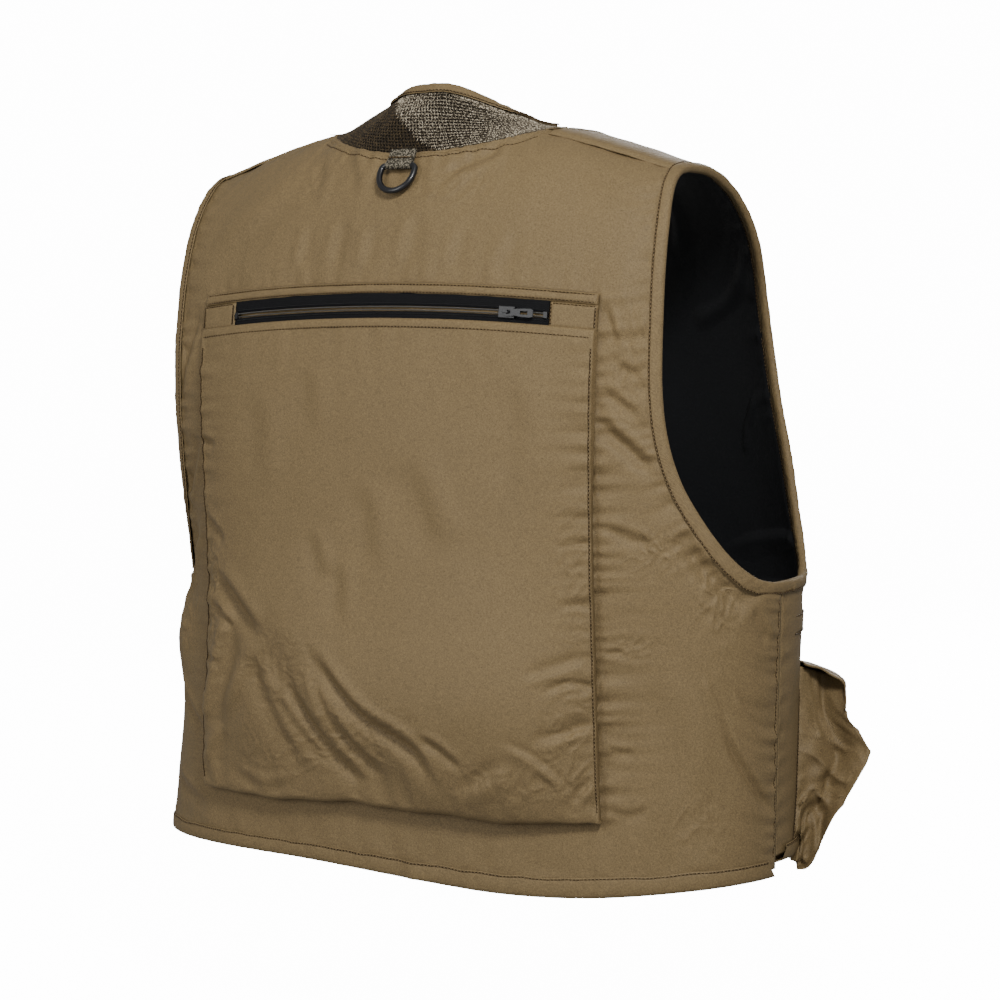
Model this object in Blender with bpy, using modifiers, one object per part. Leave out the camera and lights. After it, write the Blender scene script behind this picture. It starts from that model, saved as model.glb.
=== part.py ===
"""Fishing vest: shell, lining, collar, bindings, zips, D-rings and pockets as separate pieces.

Metres, +Z up, wearer's left is +X and the wearer's back is +Y. The origin is level with the
neck points of the shoulders, midway between them. Heights h are counted up from the hem.
"""
import math

import bmesh
import bpy
import numpy as np
from mathutils import Matrix, Vector

NAME = "fishing_vest"

# ---- body of the vest (h = height above the hem) ----
NECK_H = 0.563                      # hem to neck point
NECK_X = 0.103                      # neck point from the centre
TIP_X = 0.217                       # shoulder tip from the centre
SHOULDER_DROP = 0.032
PIT_H = 0.212                       # hem to the bottom of the armhole
HEM_W = 0.276                       # half width at the hem
PIT_LEFT, PIT_RIGHT = 0.246, 0.287  # half width at the armholes as it drapes
UPPER_W = 0.272
ROUND = 2.3                         # exponent of the body's rounded section
BACK_DEPTH, BACK_BEND = 0.1165, 0.30
FRONT_DEPTH, FRONT_LEAN, FRONT_BEND = 0.146, 0.075, 0.34
BACK_NECK_H, BACK_NECK_RISE = 0.547, 0.015
HEM_DIP, HEM_DIP_X, HEM_DIP_W, HEM_DIP_H = 0.020, -0.14, 0.17, 0.12   # the back hem hangs lower

# ---- layers, as distances out from the body's surface ----
SHELL = (-0.0015, 0.0)
LINING = (-0.0030, -0.0019)
EDGE = (-0.0032, 0.0008)            # bands and bindings that close both layers
GAP = 0.0003
SEAM = 0.00025                      # half gap at the shoulder and side seams
HEM_BAND = 0.012
ARM_BAND = 0.012
FACING = 0.012
FACING_GAP = 0.0012

# ---- front edge, neck and collar ----
EDGE_X = 0.010                      # front edge from the centre
V_H = 0.334                         # height where the V-neck starts
COLLAR_SPAN = math.radians(97)

# ---- armhole edge: (share of the pit's overhang, height), then (x, height) near the shoulder ----
ARM_BACK_X, ARM_FRONT_X = 0.2275, 0.219
ARM_BACK = [(1, 0.212), (0.90, 0.2235), (0.70, 0.240), (0.45, 0.265), (0.22, 0.294), (0.07, 0.328),
            (0, 0.37), (-0.02, 0.43), (-0.07, 0.49), (None, None)]
ARM_FRONT = [(1, 0.212), (0.881, 0.2145), (0.702, 0.235), (0.536, 0.265), (0.357, 0.31),
             (0.131, 0.36), (0, 0.42), (0.05, 0.48), (None, None)]

# ---- back pocket and its zip, which runs on an arc about an axis tilted back by ZIP_TILT ----
POCKET_X = 0.182
POCKET_TOP = 0.449
BAG_SIDE = 0.0062
ZIP_H, ZIP_X, ZIP_R, ZIP_Y = 0.4295, 0.1456, 0.690, 0.1119
ZIP_TILT = math.radians(24.75)
ZIP_CONE = math.radians(-14.8)      # slope of the tape against that axis
TAPE = 0.0105                       # half width of a closed zip's tape
SLIDER_X = -0.1124
PATCH_GAP = 0.0006
BAG_PROFILE = [(0.4185, 0.0050), (0.390, 0.0058), (0.345, 0.0080), (0.300, 0.0115),
               (0.250, 0.0160), (0.200, 0.0215), (0.150, 0.0280), (0.110, 0.0330),
               (0.080, 0.0350), (0.060, 0.0340), (0.049, 0.0280), (0.044, 0.0012)]

# ---- front pockets: section share from and to, (height, depth) of the bag, hinge, flap end ----
CHEST = dict(r=(0.25, 0.60), slant=0.0, hinge=0.398, flap=0.352,
             bag=[(0.275, 0.0012), (0.2765, 0.0100), (0.283, 0.0165), (0.300, 0.018),
                  (0.325, 0.018), (0.355, 0.018), (0.386, 0.018)])
LOWER = dict(r=(0.46, 0.925), slant=0.055, hinge=0.146, flap=0.108,
             bag=[(0.004, 0.0012), (0.0055, 0.0070), (0.016, 0.0160), (0.038, 0.0320),
                  (0.060, 0.0460), (0.075, 0.0540), (0.088, 0.0490), (0.102, 0.0380),
                  (0.115, 0.0350), (0.128, 0.0350)])
CLOTH = 0.0012

FRONT_SLIDER_H = 0.322

coll = None
cutters = None


# ---------------------------------------------------------------- scene and materials
def start():
    global coll, cutters
    for ob in list(bpy.data.objects):
        bpy.data.objects.remove(ob)
    coll = bpy.data.collections.new(NAME)
    cutters = bpy.data.collections.new(NAME + "_cutters")
    bpy.context.scene.collection.children.link(coll)
    bpy.context.scene.collection.children.link(cutters)


FINISH = {"tan": ((0.235, 0.174, 0.091), 0.75, 0), "lining": ((0.012, 0.012, 0.014), 0.8, 0),
          "mesh": ((0.075, 0.065, 0.050), 0.85, 0), "tape": ((0.010, 0.010, 0.012), 0.8, 0),
          "coil": ((0.015, 0.015, 0.017), 0.35, 0), "metal": ((0.020, 0.020, 0.022), 0.25, 0.9),
          "webbing": ((0.115, 0.105, 0.080), 0.85, 0), "velcro": ((0.020, 0.019, 0.018), 0.95, 0),
          "fleece": ((0.42, 0.38, 0.29), 0.95, 0)}


def material(node, finish):
    rgb, rough, metal = FINISH[finish]
    mat = bpy.data.materials.new(node)
    mat.use_nodes = True
    bsdf = mat.node_tree.nodes["Principled BSDF"]
    bsdf.inputs["Base Color"].default_value = (*rgb, 1)
    bsdf.inputs["Roughness"].default_value = rough
    bsdf.inputs["Metallic"].default_value = metal
    return mat


def add(name, finish, mesh, frame=None, cutter=False):
    ob = bpy.data.objects.new(name, mesh)
    (cutters if cutter else coll).objects.link(ob)
    if cutter:
        ob.hide_render = True
        ob.display_type = "WIRE"
    else:
        mesh.materials.clear()
        mesh.materials.append(material(name, finish))
    if frame is not None:
        ob.matrix_world = frame
    return ob


def finish_mesh(name, verts, faces):
    bm = bmesh.new()
    vs = [bm.verts.new(v) for v in verts]
    for f in faces:
        bm.faces.new([vs[i] for i in f])
    bmesh.ops.recalc_face_normals(bm, faces=bm.faces)
    mesh = bpy.data.meshes.new(name)
    bm.to_mesh(mesh)
    bm.free()
    return mesh


def solid(name, finish, outer, inner, wrap=False):
    """A closed body between two matching sheets of points; wrap joins the last row to the first."""
    n, m = outer.shape[:2]
    verts = [tuple(p) for p in outer.reshape(-1, 3)] + [tuple(p) for p in inner.reshape(-1, 3)]
    size = n * m
    faces = []
    rows = n if wrap else n - 1
    for i in range(rows):
        a, b = i * m, ((i + 1) % n) * m
        for j in range(m - 1):
            faces.append((a + j, a + j + 1, b + j + 1, b + j))
            faces.append((size + a + j, size + b + j, size + b + j + 1, size + a + j + 1))
        faces.append((a, b, size + b, size + a))
        faces.append((a + m - 1, size + a + m - 1, size + b + m - 1, b + m - 1))
    if not wrap:
        for j in range(m - 1):
            last = (n - 1) * m + j
            faces.append((j, size + j, size + j + 1, j + 1))
            faces.append((last, last + 1, size + last + 1, size + last))
    return add(name, finish, finish_mesh(name, verts, faces))


def sheet(name, finish, grid, thick, outward):
    """A mapped grid given a thickness by Solidify; outward is a point's rough outward side."""
    n, m = grid.shape[:2]
    bm = bmesh.new()
    bmesh.ops.create_grid(bm, x_segments=m - 1, y_segments=n - 1, size=1)
    bm.verts.ensure_lookup_table()
    for v, p in zip(bm.verts, grid.reshape(-1, 3)):
        v.co = p
    bm.normal_update()
    mean = sum((f.normal for f in bm.faces), Vector())
    if mean.dot(outward) < 0:
        bmesh.ops.reverse_faces(bm, faces=bm.faces)
    mesh = bpy.data.meshes.new(name)
    bm.to_mesh(mesh)
    bm.free()
    ob = add(name, finish, mesh)
    mod = ob.modifiers.new("cloth", "SOLIDIFY")
    mod.thickness = abs(thick)
    mod.offset = 1 if thick > 0 else -1
    mod.use_even_offset = True
    return ob


# ---------------------------------------------------------------- the body's surface
def smooth(t):
    t = np.clip(t, 0, 1)
    return t * t * (3 - 2 * t)


def ridge(x):
    t = (np.abs(x) - NECK_X) / (TIP_X - NECK_X)
    return NECK_H - SHOULDER_DROP * np.sign(t) * np.abs(np.clip(t, -0.6, 1.5)) ** 1.15


def half_width(x, h):
    pit = np.where(np.asarray(x) > 0, PIT_LEFT, PIT_RIGHT)
    low = HEM_W + (pit - HEM_W) * np.clip(np.asarray(h) / PIT_H, 0, 1)
    return low + (UPPER_W - low) * smooth((h - PIT_H) / (0.40 - PIT_H))


def depth_at(h, back):
    return BACK_DEPTH + 0 * h if back else FRONT_DEPTH + FRONT_LEAN * h


def shares(x, h, back):
    bend = BACK_BEND if back else FRONT_BEND
    r = np.abs(x) / half_width(x, h)
    t = np.maximum((h - bend) / (ridge(x) - bend), 0)
    return r, t


def depth(x, h, back):
    r, t = shares(x, h, back)
    inside = np.clip(1 - r ** ROUND, 0, 1) * np.clip(1 - t ** ROUND, 0, 1)
    return depth_at(h, back) * inside ** (1 / ROUND)


def field(x, y, h, back):
    r, t = shares(x, h, back)
    return (np.abs(y) / depth_at(h, back)) ** ROUND - (1 - r ** ROUND) * (1 - t ** ROUND)


def skin(x, h, back, out=0.0, seam=SEAM):
    """Points of the body's surface at (x, h), moved outward by out."""
    x, h = np.broadcast_arrays(np.asarray(x, float), np.asarray(h, float))
    sign = 1 if back else -1
    y = sign * depth(x, h, back)
    e = 1e-5
    nx = field(x + e, y, h, back) - field(x - e, y, h, back)
    ny = field(x, y + e, h, back) - field(x, y - e, h, back)
    nh = field(x, y, h + e, back) - field(x, y, h - e, back)
    n = np.stack([nx, ny, nh], -1)
    n /= np.linalg.norm(n, axis=-1, keepdims=True)
    p = np.stack([x, y + sign * seam, h - NECK_H], -1) + n * np.asarray(out)[..., None]
    if back:
        fade = np.clip(1 - h / HEM_DIP_H, 0, 1) ** 2
        p[..., 2] -= HEM_DIP * np.exp(-((x - HEM_DIP_X) / HEM_DIP_W) ** 2) * fade
    return p


def spline(points, k):
    """Catmull-Rom curve through the points, k from 0 to 1, with its direction."""
    pts = np.vstack([2 * points[0] - points[1], points, 2 * points[-1] - points[-2]])
    seg = np.clip(np.asarray(k) * (len(points) - 1), 0, len(points) - 1 - 1e-9)
    i = seg.astype(int)
    t = (seg - i)[:, None]
    a, b, c, d = pts[i], pts[i + 1], pts[i + 2], pts[i + 3]
    two, three = 2 * a - 5 * b + 4 * c - d, 3 * b - a - 3 * c + d
    p = 0.5 * (2 * b + (c - a) * t + two * t ** 2 + three * t ** 3)
    v = 0.5 * (c - a + 2 * two * t + 3 * three * t ** 2)
    return p, v / np.linalg.norm(v, axis=1, keepdims=True)


def arm_edge(side, back, k, inset):
    """Armhole edge on one side, from the side seam (k = 0) to the shoulder tip, moved off the hole."""
    pit = PIT_LEFT if side > 0 else PIT_RIGHT
    base = ARM_BACK_X if back else ARM_FRONT_X
    pts = [(base + s * (pit - base) if s > 0 else base + s * 0.06, h)
           for s, h in (ARM_BACK if back else ARM_FRONT)[:-1]]
    pts.append((TIP_X, float(ridge(TIP_X))))
    p, v = spline(np.array(pts), k)
    x = p[:, 0] - inset * np.abs(v[:, 1])
    drop = -inset * np.abs(v[:, 0])
    along = ridge(x) - ridge(p[:, 0])
    h = p[:, 1] + drop + (along - drop) * smooth((k - 0.6) / 0.4)
    h[0] = PIT_H - inset
    x = np.minimum(x, half_width(side * x, h))
    x[0] = half_width(side, h[0])
    h[-1] = ridge(x[-1])
    return x, h


ARM_K = np.concatenate([np.linspace(0, 0.8, 11), 1 - 0.2 * (1 - np.linspace(0, 1, 6)[1:]) ** 1.6])
LOW_H = np.linspace(HEM_BAND, PIT_H - ARM_BAND - GAP, 7)[:-1]
TIP_IN = TIP_X - ARM_BAND - GAP
U_NECK = math.asin(NECK_X / TIP_IN) / (math.pi / 2)
BACK_S = np.sin(np.concatenate([np.linspace(0, U_NECK, 4)[:-1], np.linspace(U_NECK, 1, 8)]) * math.pi / 2)
FRONT_S = np.sin(np.linspace(0, 1, 10) * math.pi / 2)


def back_top(x):
    return np.where(np.abs(x) < NECK_X - 1e-6,
                    BACK_NECK_H + BACK_NECK_RISE * (x / NECK_X) ** 2, ridge(x))


def back_grid():
    halves = []
    edges = {s: arm_edge(s, True, ARM_K, ARM_BAND + GAP) for s in (-1, 1)}
    centre = (edges[-1][1] + edges[1][1]) / 2
    f = (centre - centre[0]) / (centre[-1] - centre[0])
    for s in (-1, 1):
        ex, eh = edges[s]
        x_low = half_width(s, LOW_H)[:, None] * BACK_S[None]
        h_low = LOW_H[:, None] + 0 * x_low
        x_up = ex[:, None] * BACK_S[None]
        top = back_top(ex[-1] * BACK_S) - back_top(ex[-1])
        h_up = centre[:, None] + (eh - centre)[:, None] * BACK_S[None] ** 2 + f[:, None] ** 2 * top[None]
        halves.append((s * np.vstack([x_low, x_up]), np.vstack([h_low, h_up])))
    x = np.hstack([halves[0][0][:, ::-1], halves[1][0][:, 1:]])
    h = np.hstack([halves[0][1][:, ::-1], halves[1][1][:, 1:]])
    return x, h


def v_edge(h):
    """Finished front edge: straight beside the zip, then the V-neck up to the neck point."""
    t = np.clip((h - V_H) / (NECK_H - V_H), 0, 1)
    return EDGE_X + (NECK_X - EDGE_X) * t ** 1.2


def front_grid(s):
    ex, eh = arm_edge(s, False, ARM_K, ARM_BAND + GAP)
    inner_top = NECK_X + FACING + FACING_GAP
    f = (eh - eh[0]) / (eh[-1] - eh[0])
    vh = eh[0] + f * (ridge(inner_top) - eh[0])
    vx = np.minimum(v_edge(vh + (NECK_H - ridge(inner_top)) * f) + FACING + FACING_GAP, inner_top)
    start_low = EDGE_X + FACING + FACING_GAP
    x_low = start_low + (half_width(s, LOW_H) - start_low)[:, None] * FRONT_S[None]
    h_low = LOW_H[:, None] + 0 * x_low
    x_up = vx[:, None] + (ex - vx)[:, None] * FRONT_S[None]
    line = vh[:, None] + (eh - vh)[:, None] * FRONT_S[None]
    top = ridge(x_up[-1]) - line[-1]
    h_up = line + f[:, None] ** 2 * top[None]
    return s * np.vstack([x_low, x_up]), np.vstack([h_low, h_up])


def slab(name, finish, x, h, back, lo, hi):
    return solid(name, finish, skin(x, h, back, hi), skin(x, h, back, lo))


# ---------------------------------------------------------------- shell, lining, bindings
def shells():
    x, h = back_grid()
    slab("back_panel", "tan", x, h, True, *SHELL)
    slab("back_lining", "lining", x, h, True, *LINING)
    for s, side in ((1, "left"), (-1, "right")):
        x, h = front_grid(s)
        slab("front_panel_" + side, "tan", x, h, False, *SHELL)
        slab("front_lining_" + side, "lining", x, h, False, *LINING)


def hems():
    h = np.array([0.0, HEM_BAND - GAP])[:, None]
    full = np.concatenate([-BACK_S[::-1], BACK_S[1:]])[None]
    slab("hem_band_back", "tan", full * half_width(full, h), h + 0 * full, True, *EDGE)
    for s, side in ((1, "left"), (-1, "right")):
        x = EDGE_X + (half_width(s, h) - EDGE_X) * FRONT_S[None]
        slab("hem_band_" + side, "tan", s * x, h + 0 * x, False, *EDGE)


def armhole_bindings():
    for s, side in ((1, "left"), (-1, "right")):
        loops = []
        for out in EDGE[::-1]:
            cols = []
            for inset in (0.0, ARM_BAND / 2, ARM_BAND):
                bx, bh = arm_edge(s, True, ARM_K, inset)
                fx, fh = arm_edge(s, False, ARM_K, inset)
                rise = skin(s * bx, bh, True, out, 0)
                fall = skin(s * fx[::-1], fh[::-1], False, out, 0)
                cols.append(np.vstack([rise, fall[1:-1]]))
            loops.append(np.stack(cols, 1))
        solid("armhole_binding_" + side, "tan", loops[0], loops[1], wrap=True)


def facings():
    """Stitched facing along each front edge and V-neck, up to the shoulder seam."""
    low = np.linspace(HEM_BAND, V_H, 9)[:-1]
    t = np.linspace(0, 1, 12)
    high = V_H + (NECK_H - V_H) * (1 - (1 - t) ** 1.7)
    for s, side in ((1, "left"), (-1, "right")):
        cols_x, cols_h = [], []
        for inset in (0.0, FACING / 2, FACING):
            f = np.concatenate([0 * low, (high - V_H) / (NECK_H - V_H)])
            h = np.concatenate([low, high])
            cols_x.append(v_edge(h) + inset)
            end = ridge(NECK_X + inset) - NECK_H
            cols_h.append(h + end * f ** 2)
        x, h = s * np.stack(cols_x, 1), np.stack(cols_h, 1)
        slab("front_facing_" + side, "tan", x, h, False, *EDGE)


def collar_base(th, shrink=0.0036):
    return np.stack([(NECK_X - shrink) * np.sin(th), (0.064 - shrink) * np.cos(th),
                     BACK_NECK_H + BACK_NECK_RISE * np.sin(th) ** 2 - NECK_H + 0.0024], -1)


def collar_rise(th):
    k = 1 - smooth((np.abs(th) - math.radians(62)) / math.radians(35)) * 0.86
    right = smooth(-th)             # the wearer's right side stands lower
    z = (0.047 - 0.010 * right) * np.cos(th) ** (1.05 + 0.45 * right)
    return np.stack([-0.031 * np.sin(th), -0.039 + 0 * th, z], -1) * k[:, None]


def collar():
    th = np.linspace(-COLLAR_SPAN, COLLAR_SPAN, 27)
    base = collar_base(np.clip(th, -math.pi / 2, math.pi / 2))
    base[:, 1] -= 0.06 * np.maximum(np.abs(th) - math.pi / 2, 0)
    rise = collar_rise(np.clip(th, -math.pi / 2, math.pi / 2))
    v = np.linspace(0, 1, 5)
    bow = 0.004 * np.sin(v * math.pi)
    grid = base[:, None] + rise[:, None] * v[None, :, None]
    grid += (base / np.linalg.norm(base, axis=1, keepdims=True))[:, None] * bow[None, :, None]
    sheet("collar_mesh", "mesh", grid, -0.0016, Vector((0, 1, 0)))
    top = base + rise
    run = np.gradient(top, axis=0)
    run /= np.linalg.norm(run, axis=1, keepdims=True)
    away = rise - (rise * run).sum(1, keepdims=True) * run
    away /= np.linalg.norm(away, axis=1, keepdims=True)
    tube("collar_binding", "tan", top + away * 0.0036, 0.0024)


def tube(name, finish, points, radius, cyclic=False, frame=None, sides=2):
    crv = bpy.data.curves.new(name, "CURVE")
    crv.dimensions = "3D"
    crv.bevel_depth = radius
    crv.bevel_resolution = sides
    crv.use_fill_caps = True
    sp = crv.splines.new("POLY")
    sp.points.add(len(points) - 1)
    for q, p in zip(sp.points, points):
        q.co = (*p, 1)
    sp.use_cyclic_u = cyclic
    tmp = bpy.data.objects.new(name + "_curve", crv)
    bpy.context.scene.collection.objects.link(tmp)
    mesh = bpy.data.meshes.new_from_object(tmp)
    bpy.data.objects.remove(tmp)
    return add(name, finish, mesh, frame)


def plate(name, finish, loops, thick, frame, cutter=False, origin=None):
    """A flat outline with its holes, in local x and y, given a thickness along local z."""
    crv = bpy.data.curves.new(name, "CURVE")
    crv.dimensions = "2D"
    crv.fill_mode = "BOTH"
    crv.extrude = thick / 2
    for loop in loops:
        sp = crv.splines.new("POLY")
        sp.points.add(len(loop) - 1)
        for q, (x, y) in zip(sp.points, loop):
            q.co = (x, y, 0, 1)
        sp.use_cyclic_u = True
    tmp = bpy.data.objects.new(name + "_curve", crv)
    bpy.context.scene.collection.objects.link(tmp)
    mesh = bpy.data.meshes.new_from_object(tmp)
    bpy.data.objects.remove(tmp)
    if origin is not None:
        mesh.transform(origin)
    bm = bmesh.new()
    bm.from_mesh(mesh)
    bmesh.ops.remove_doubles(bm, verts=bm.verts, dist=1e-6)
    bmesh.ops.recalc_face_normals(bm, faces=bm.faces)
    bm.to_mesh(mesh)
    bm.free()
    return add(name, finish, mesh, frame, cutter)


def axes(origin, x, y, z):
    m = Matrix.Identity(4)
    for i, v in enumerate((x, y, z)):
        m.col[i][:3] = Vector(v).normalized()
    m.col[3][:3] = origin
    return m


# ---------------------------------------------------------------- D-rings
def arc_points(cx, cy, r, a0, a1, n):
    return [(cx + r * math.cos(a), cy + r * math.sin(a)) for a in np.linspace(a0, a1, n)]


def d_path(w, drop, corner):
    """A D, in the x-z plane, hanging from a straight bar on the x axis."""
    pts = [(-w + corner, 0), (w - corner, 0)]
    pts += arc_points(w - corner, -corner, corner, math.radians(75), 0, 4)
    pts += arc_points(0, -drop + w, w, 0, -math.pi, 15)
    pts += arc_points(-w + corner, -corner, corner, math.pi, math.radians(105), 4)
    return [(x, 0, z) for x, z in pts]


def strap_loops(hole, ply, tail, n=14):
    """Side view of a folded strap: an eye round the bar, and a doubled tail that is sewn down."""
    out = hole + ply
    a = math.asin(ply / out)
    outer = arc_points(0, 0, out, math.pi / 2 + a, 2.5 * math.pi - a, n)
    outer += [(ply, tail), (-ply, tail)]
    inner = arc_points(0, 0, hole, 0, 2 * math.pi, n)[:-1]
    return [outer, inner]


def d_rings():
    for name, h, back, w, wire, half in (("d_ring", 0.5355, True, 0.0155, 0.0018, 0.010),
                                         ("front_d_ring", 0.452, False, 0.0115, 0.0014, 0.0075)):
        x = 0.0 if back else 0.118
        p = skin(x, h, back, 0.0052)
        e = 0.004
        up = Vector(skin(x, h + e, back) - skin(x, h - e, back)).normalized()
        acr = Vector(skin(x + e, h, back) - skin(x - e, h, back)).normalized()
        side = up.cross(acr)
        tilt = axes(p, acr, side, up)
        tube(name, "metal", d_path(w, 0.0225 * w / 0.0155, 0.004), wire, True, tilt)
        loops = strap_loops(wire + 0.0006, 0.0010, 0.0145 if back else 0.020)
        strap = axes(p, -side, up, (-side).cross(up))
        plate(name + "_tab", "webbing", loops, 2 * half, strap)


# ---------------------------------------------------------------- zips
def arch(x):
    """How far the zip, its band and its patches hang below their middle at x."""
    return math.sin(ZIP_TILT) * (np.sqrt(ZIP_R ** 2 - x ** 2) - ZIP_R)


def zip_axes():
    """The zip arc's centre, its axis, and the direction from the centre to the zip's middle."""
    axis = np.array([0, -math.sin(ZIP_TILT), math.cos(ZIP_TILT)])
    spoke = np.array([0, math.cos(ZIP_TILT), math.sin(ZIP_TILT)])
    return np.array([0, ZIP_Y, ZIP_H - NECK_H]) - ZIP_R * spoke, axis, spoke


def arc_skin(x, w, out):
    """Points on the zip's arc: w across the tape from its middle, out from the tape's mid surface."""
    x, w = np.broadcast_arrays(np.asarray(x, float), np.asarray(w, float))
    centre, axis, spoke = zip_axes()
    rad = ZIP_R - math.sin(ZIP_CONE) * w + math.cos(ZIP_CONE) * out
    rise = math.cos(ZIP_CONE) * w + math.sin(ZIP_CONE) * out
    p = centre + rise[..., None] * axis + np.sqrt(rad ** 2 - x ** 2)[..., None] * spoke
    p[..., 0] += x
    return p


def slider_profile():
    """Section across the chain: two plates, lips that clear the tape, and a thin centre post."""
    half = [(0.0003, 0.0009), (0.0036, 0.0009), (0.0036, 0.0004), (0.0044, 0.0004),
            (0.0048, 0.0012), (0.0042, 0.0019)]
    low = [(x, -y) for x, y in half[::-1]]
    right = low + half
    return [right + [(-x, y) for x, y in right[::-1]]]


def slider(name, frame, length):
    """Slider body with the bridge that holds its pull; local x across, y along, z out."""
    turn = Matrix.Rotation(math.radians(90), 4, "X")
    body = plate(name, "metal", slider_profile(), length, frame, origin=turn)
    bridge = [(-0.0030, 0), (0.0030, 0), (0.0030, 0.0018), (0.0020, 0.0036), (-0.0020, 0.0036),
              (-0.0030, 0.0018)]
    eye = [(x * 0.0010, y * 0.001) for x, y in ((-1.6, 0.5), (1.6, 0.5), (1.6, 1.9), (1.0, 2.6),
                                                (-1.0, 2.6), (-1.6, 1.9))]
    lift = Matrix.Translation((0, 0, 0.0016)) @ Matrix.Rotation(math.radians(90), 4, "Z") @ turn
    arch = plate(name + "_bridge", "metal", [bridge, eye], 0.0016, frame, True, lift)
    mod = body.modifiers.new("bridge", "BOOLEAN")
    mod.operation = "UNION"
    mod.solver = "EXACT"
    mod.object = arch
    return body


PULL_UP = 0.0033                    # height of the pull's bar over the tape's mid surface


def pull(name, frame):
    """Zip pull that hangs along local -y from a bar on the local x axis."""
    outline = [(-0.0030, 0.0006), (0.0030, 0.0006), (0.0031, -0.0050), (0.0024, -0.0070),
               (0.0030, -0.0110), (0.0034, -0.0200), (0.0026, -0.0225), (-0.0026, -0.0225),
               (-0.0034, -0.0200), (-0.0030, -0.0110), (-0.0024, -0.0070), (-0.0031, -0.0050)]
    window = [(-0.0016, -0.0006), (0.0016, -0.0006), (0.0016, -0.0040), (-0.0016, -0.0040)]
    slot = [(-0.0014, -0.0120), (0.0014, -0.0120), (0.0016, -0.0180), (-0.0016, -0.0180)]
    plate(name, "metal", [outline, window, slot], 0.0011, frame)


def back_zip():
    n = 25
    x = np.linspace(-ZIP_X, ZIP_X, n)[None]
    for name, a, b in (("zip_tape_upper", 0.0027, TAPE), ("zip_tape_lower", -TAPE, -0.0027)):
        w = np.array([a, b])[:, None]
        solid(name, "tape", arc_skin(x, w, 0.0003), arc_skin(x, w, -0.0003))
    xc = np.linspace(-ZIP_X + 0.004, ZIP_X - 0.004, n)[None]
    for name, a, b in (("zip_coil_upper", 0.0005, 0.0024), ("zip_coil_lower", -0.0024, -0.0005)):
        w = np.array([a, b])[:, None]
        solid(name, "coil", arc_skin(xc, w, 0.0006), arc_skin(xc, w, -0.0006))
    for name, s in (("zip_stop_left", 1), ("zip_stop_right", -1)):
        xs = s * np.array([ZIP_X - 0.0036, ZIP_X - 0.0006])[None]
        w = np.array([-0.0024, 0.0024])[:, None]
        solid(name, "metal", arc_skin(xs, w, 0.0015), arc_skin(xs, w, -0.0009))
    _, axis, spoke = zip_axes()
    turn = math.asin(SLIDER_X / ZIP_R)
    radial = Vector(math.cos(turn) * spoke) + Vector((math.sin(turn), 0, 0))
    up = Vector(axis) * math.cos(ZIP_CONE) - radial * math.sin(ZIP_CONE)
    out = radial * math.cos(ZIP_CONE) + Vector(axis) * math.sin(ZIP_CONE)
    along = out.cross(up)
    p = Vector(arc_skin(SLIDER_X, 0.0, 0.0))
    slider("zip_slider", axes(p, up, along, out), 0.013)
    pull("zip_pull", axes(p + out * PULL_UP, up, along, out))


def front_line(h, out):
    """Point of the straight front zip line, and its up and outward directions."""
    up = Vector((0, -FRONT_LEAN, 1)).normalized()
    outward = Vector((0, -1, -FRONT_LEAN)).normalized()
    return Vector((0, -(FRONT_DEPTH + FRONT_LEAN * h), h - NECK_H)) + outward * out, up, outward


def strip(name, finish, x0, x1, h0, h1, lo, hi):
    """A straight strip on the front zip line."""
    def face(out):
        return np.array([[tuple(front_line(h, out)[0] + Vector((x, 0, 0))) for x in (x0, x1)]
                         for h in (h0, h1)])
    return solid(name, finish, face(hi), face(lo))


def front_zip():
    mid = -0.0011
    for s, side in ((1, "left"), (-1, "right")):
        strip("front_zip_tape_" + side, "tape", s * 0.0027, s * 0.0097, 0.0125, V_H - 0.001,
              mid - 0.0003, mid + 0.0003)
        strip("front_zip_coil_" + side, "coil", s * 0.0005, s * 0.0024, 0.0255, V_H - 0.0045,
              mid - 0.0006, mid + 0.0006)
        strip("front_zip_stop_" + side, "metal", s * 0.0005, s * 0.0024, V_H - 0.0042, V_H - 0.0012,
              mid - 0.0009, mid + 0.0015)
    strip("front_zip_box", "metal", -0.0025, 0.0025, 0.0130, 0.0250, mid - 0.0014, mid + 0.0018)
    p, up, out = front_line(FRONT_SLIDER_H, mid)
    slider("front_zip_slider", axes(p, (1, 0, 0), up, out), 0.013)
    bar = p + out * PULL_UP
    pull("front_zip_pull", axes(bar, (1, 0, 0), (0, 0, 1), (0, -1, 0)))


# ---------------------------------------------------------------- pockets
def back_pocket():
    hs = np.array([h for h, _ in BAG_PROFILE])[:, None]
    inner = np.linspace(-POCKET_X + 0.003, POCKET_X - 0.003, 15)
    xs = np.concatenate([[-POCKET_X], inner, [POCKET_X]])[None]
    o = np.array([d for _, d in BAG_PROFILE])[:, None] + 0 * xs
    side = np.abs(xs / POCKET_X) ** 4
    o = np.where(o > BAG_SIDE, o + (BAG_SIDE - o) * side, o)
    o[:, [0, -1]] = 0.0012
    h = hs + arch(xs) * smooth((hs - 0.30) / 0.11)
    sheet("back_pocket_bag", "tan", skin(xs, h, True, o + CLOTH), -CLOTH, Vector((0, 1, 0)))
    xs = np.linspace(-POCKET_X, POCKET_X, 19)[None]
    h = np.array([ZIP_H + TAPE + PATCH_GAP, POCKET_TOP])[:, None] + arch(xs)
    slab("back_pocket_band", "tan", xs + 0 * h, h, True, 0.0008, 0.0046)
    for s, side in ((1, "left"), (-1, "right")):
        xs = s * np.linspace(ZIP_X + PATCH_GAP, POCKET_X, 4)[None]
        h = ZIP_H + np.array([-TAPE, 0, TAPE])[:, None] + arch(xs)
        slab("zip_end_patch_" + side, "tan", xs + 0 * h, h, True, 0.0008, 0.0046)


def share_x(s, r, h):
    return s * r * half_width(s, h)


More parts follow.
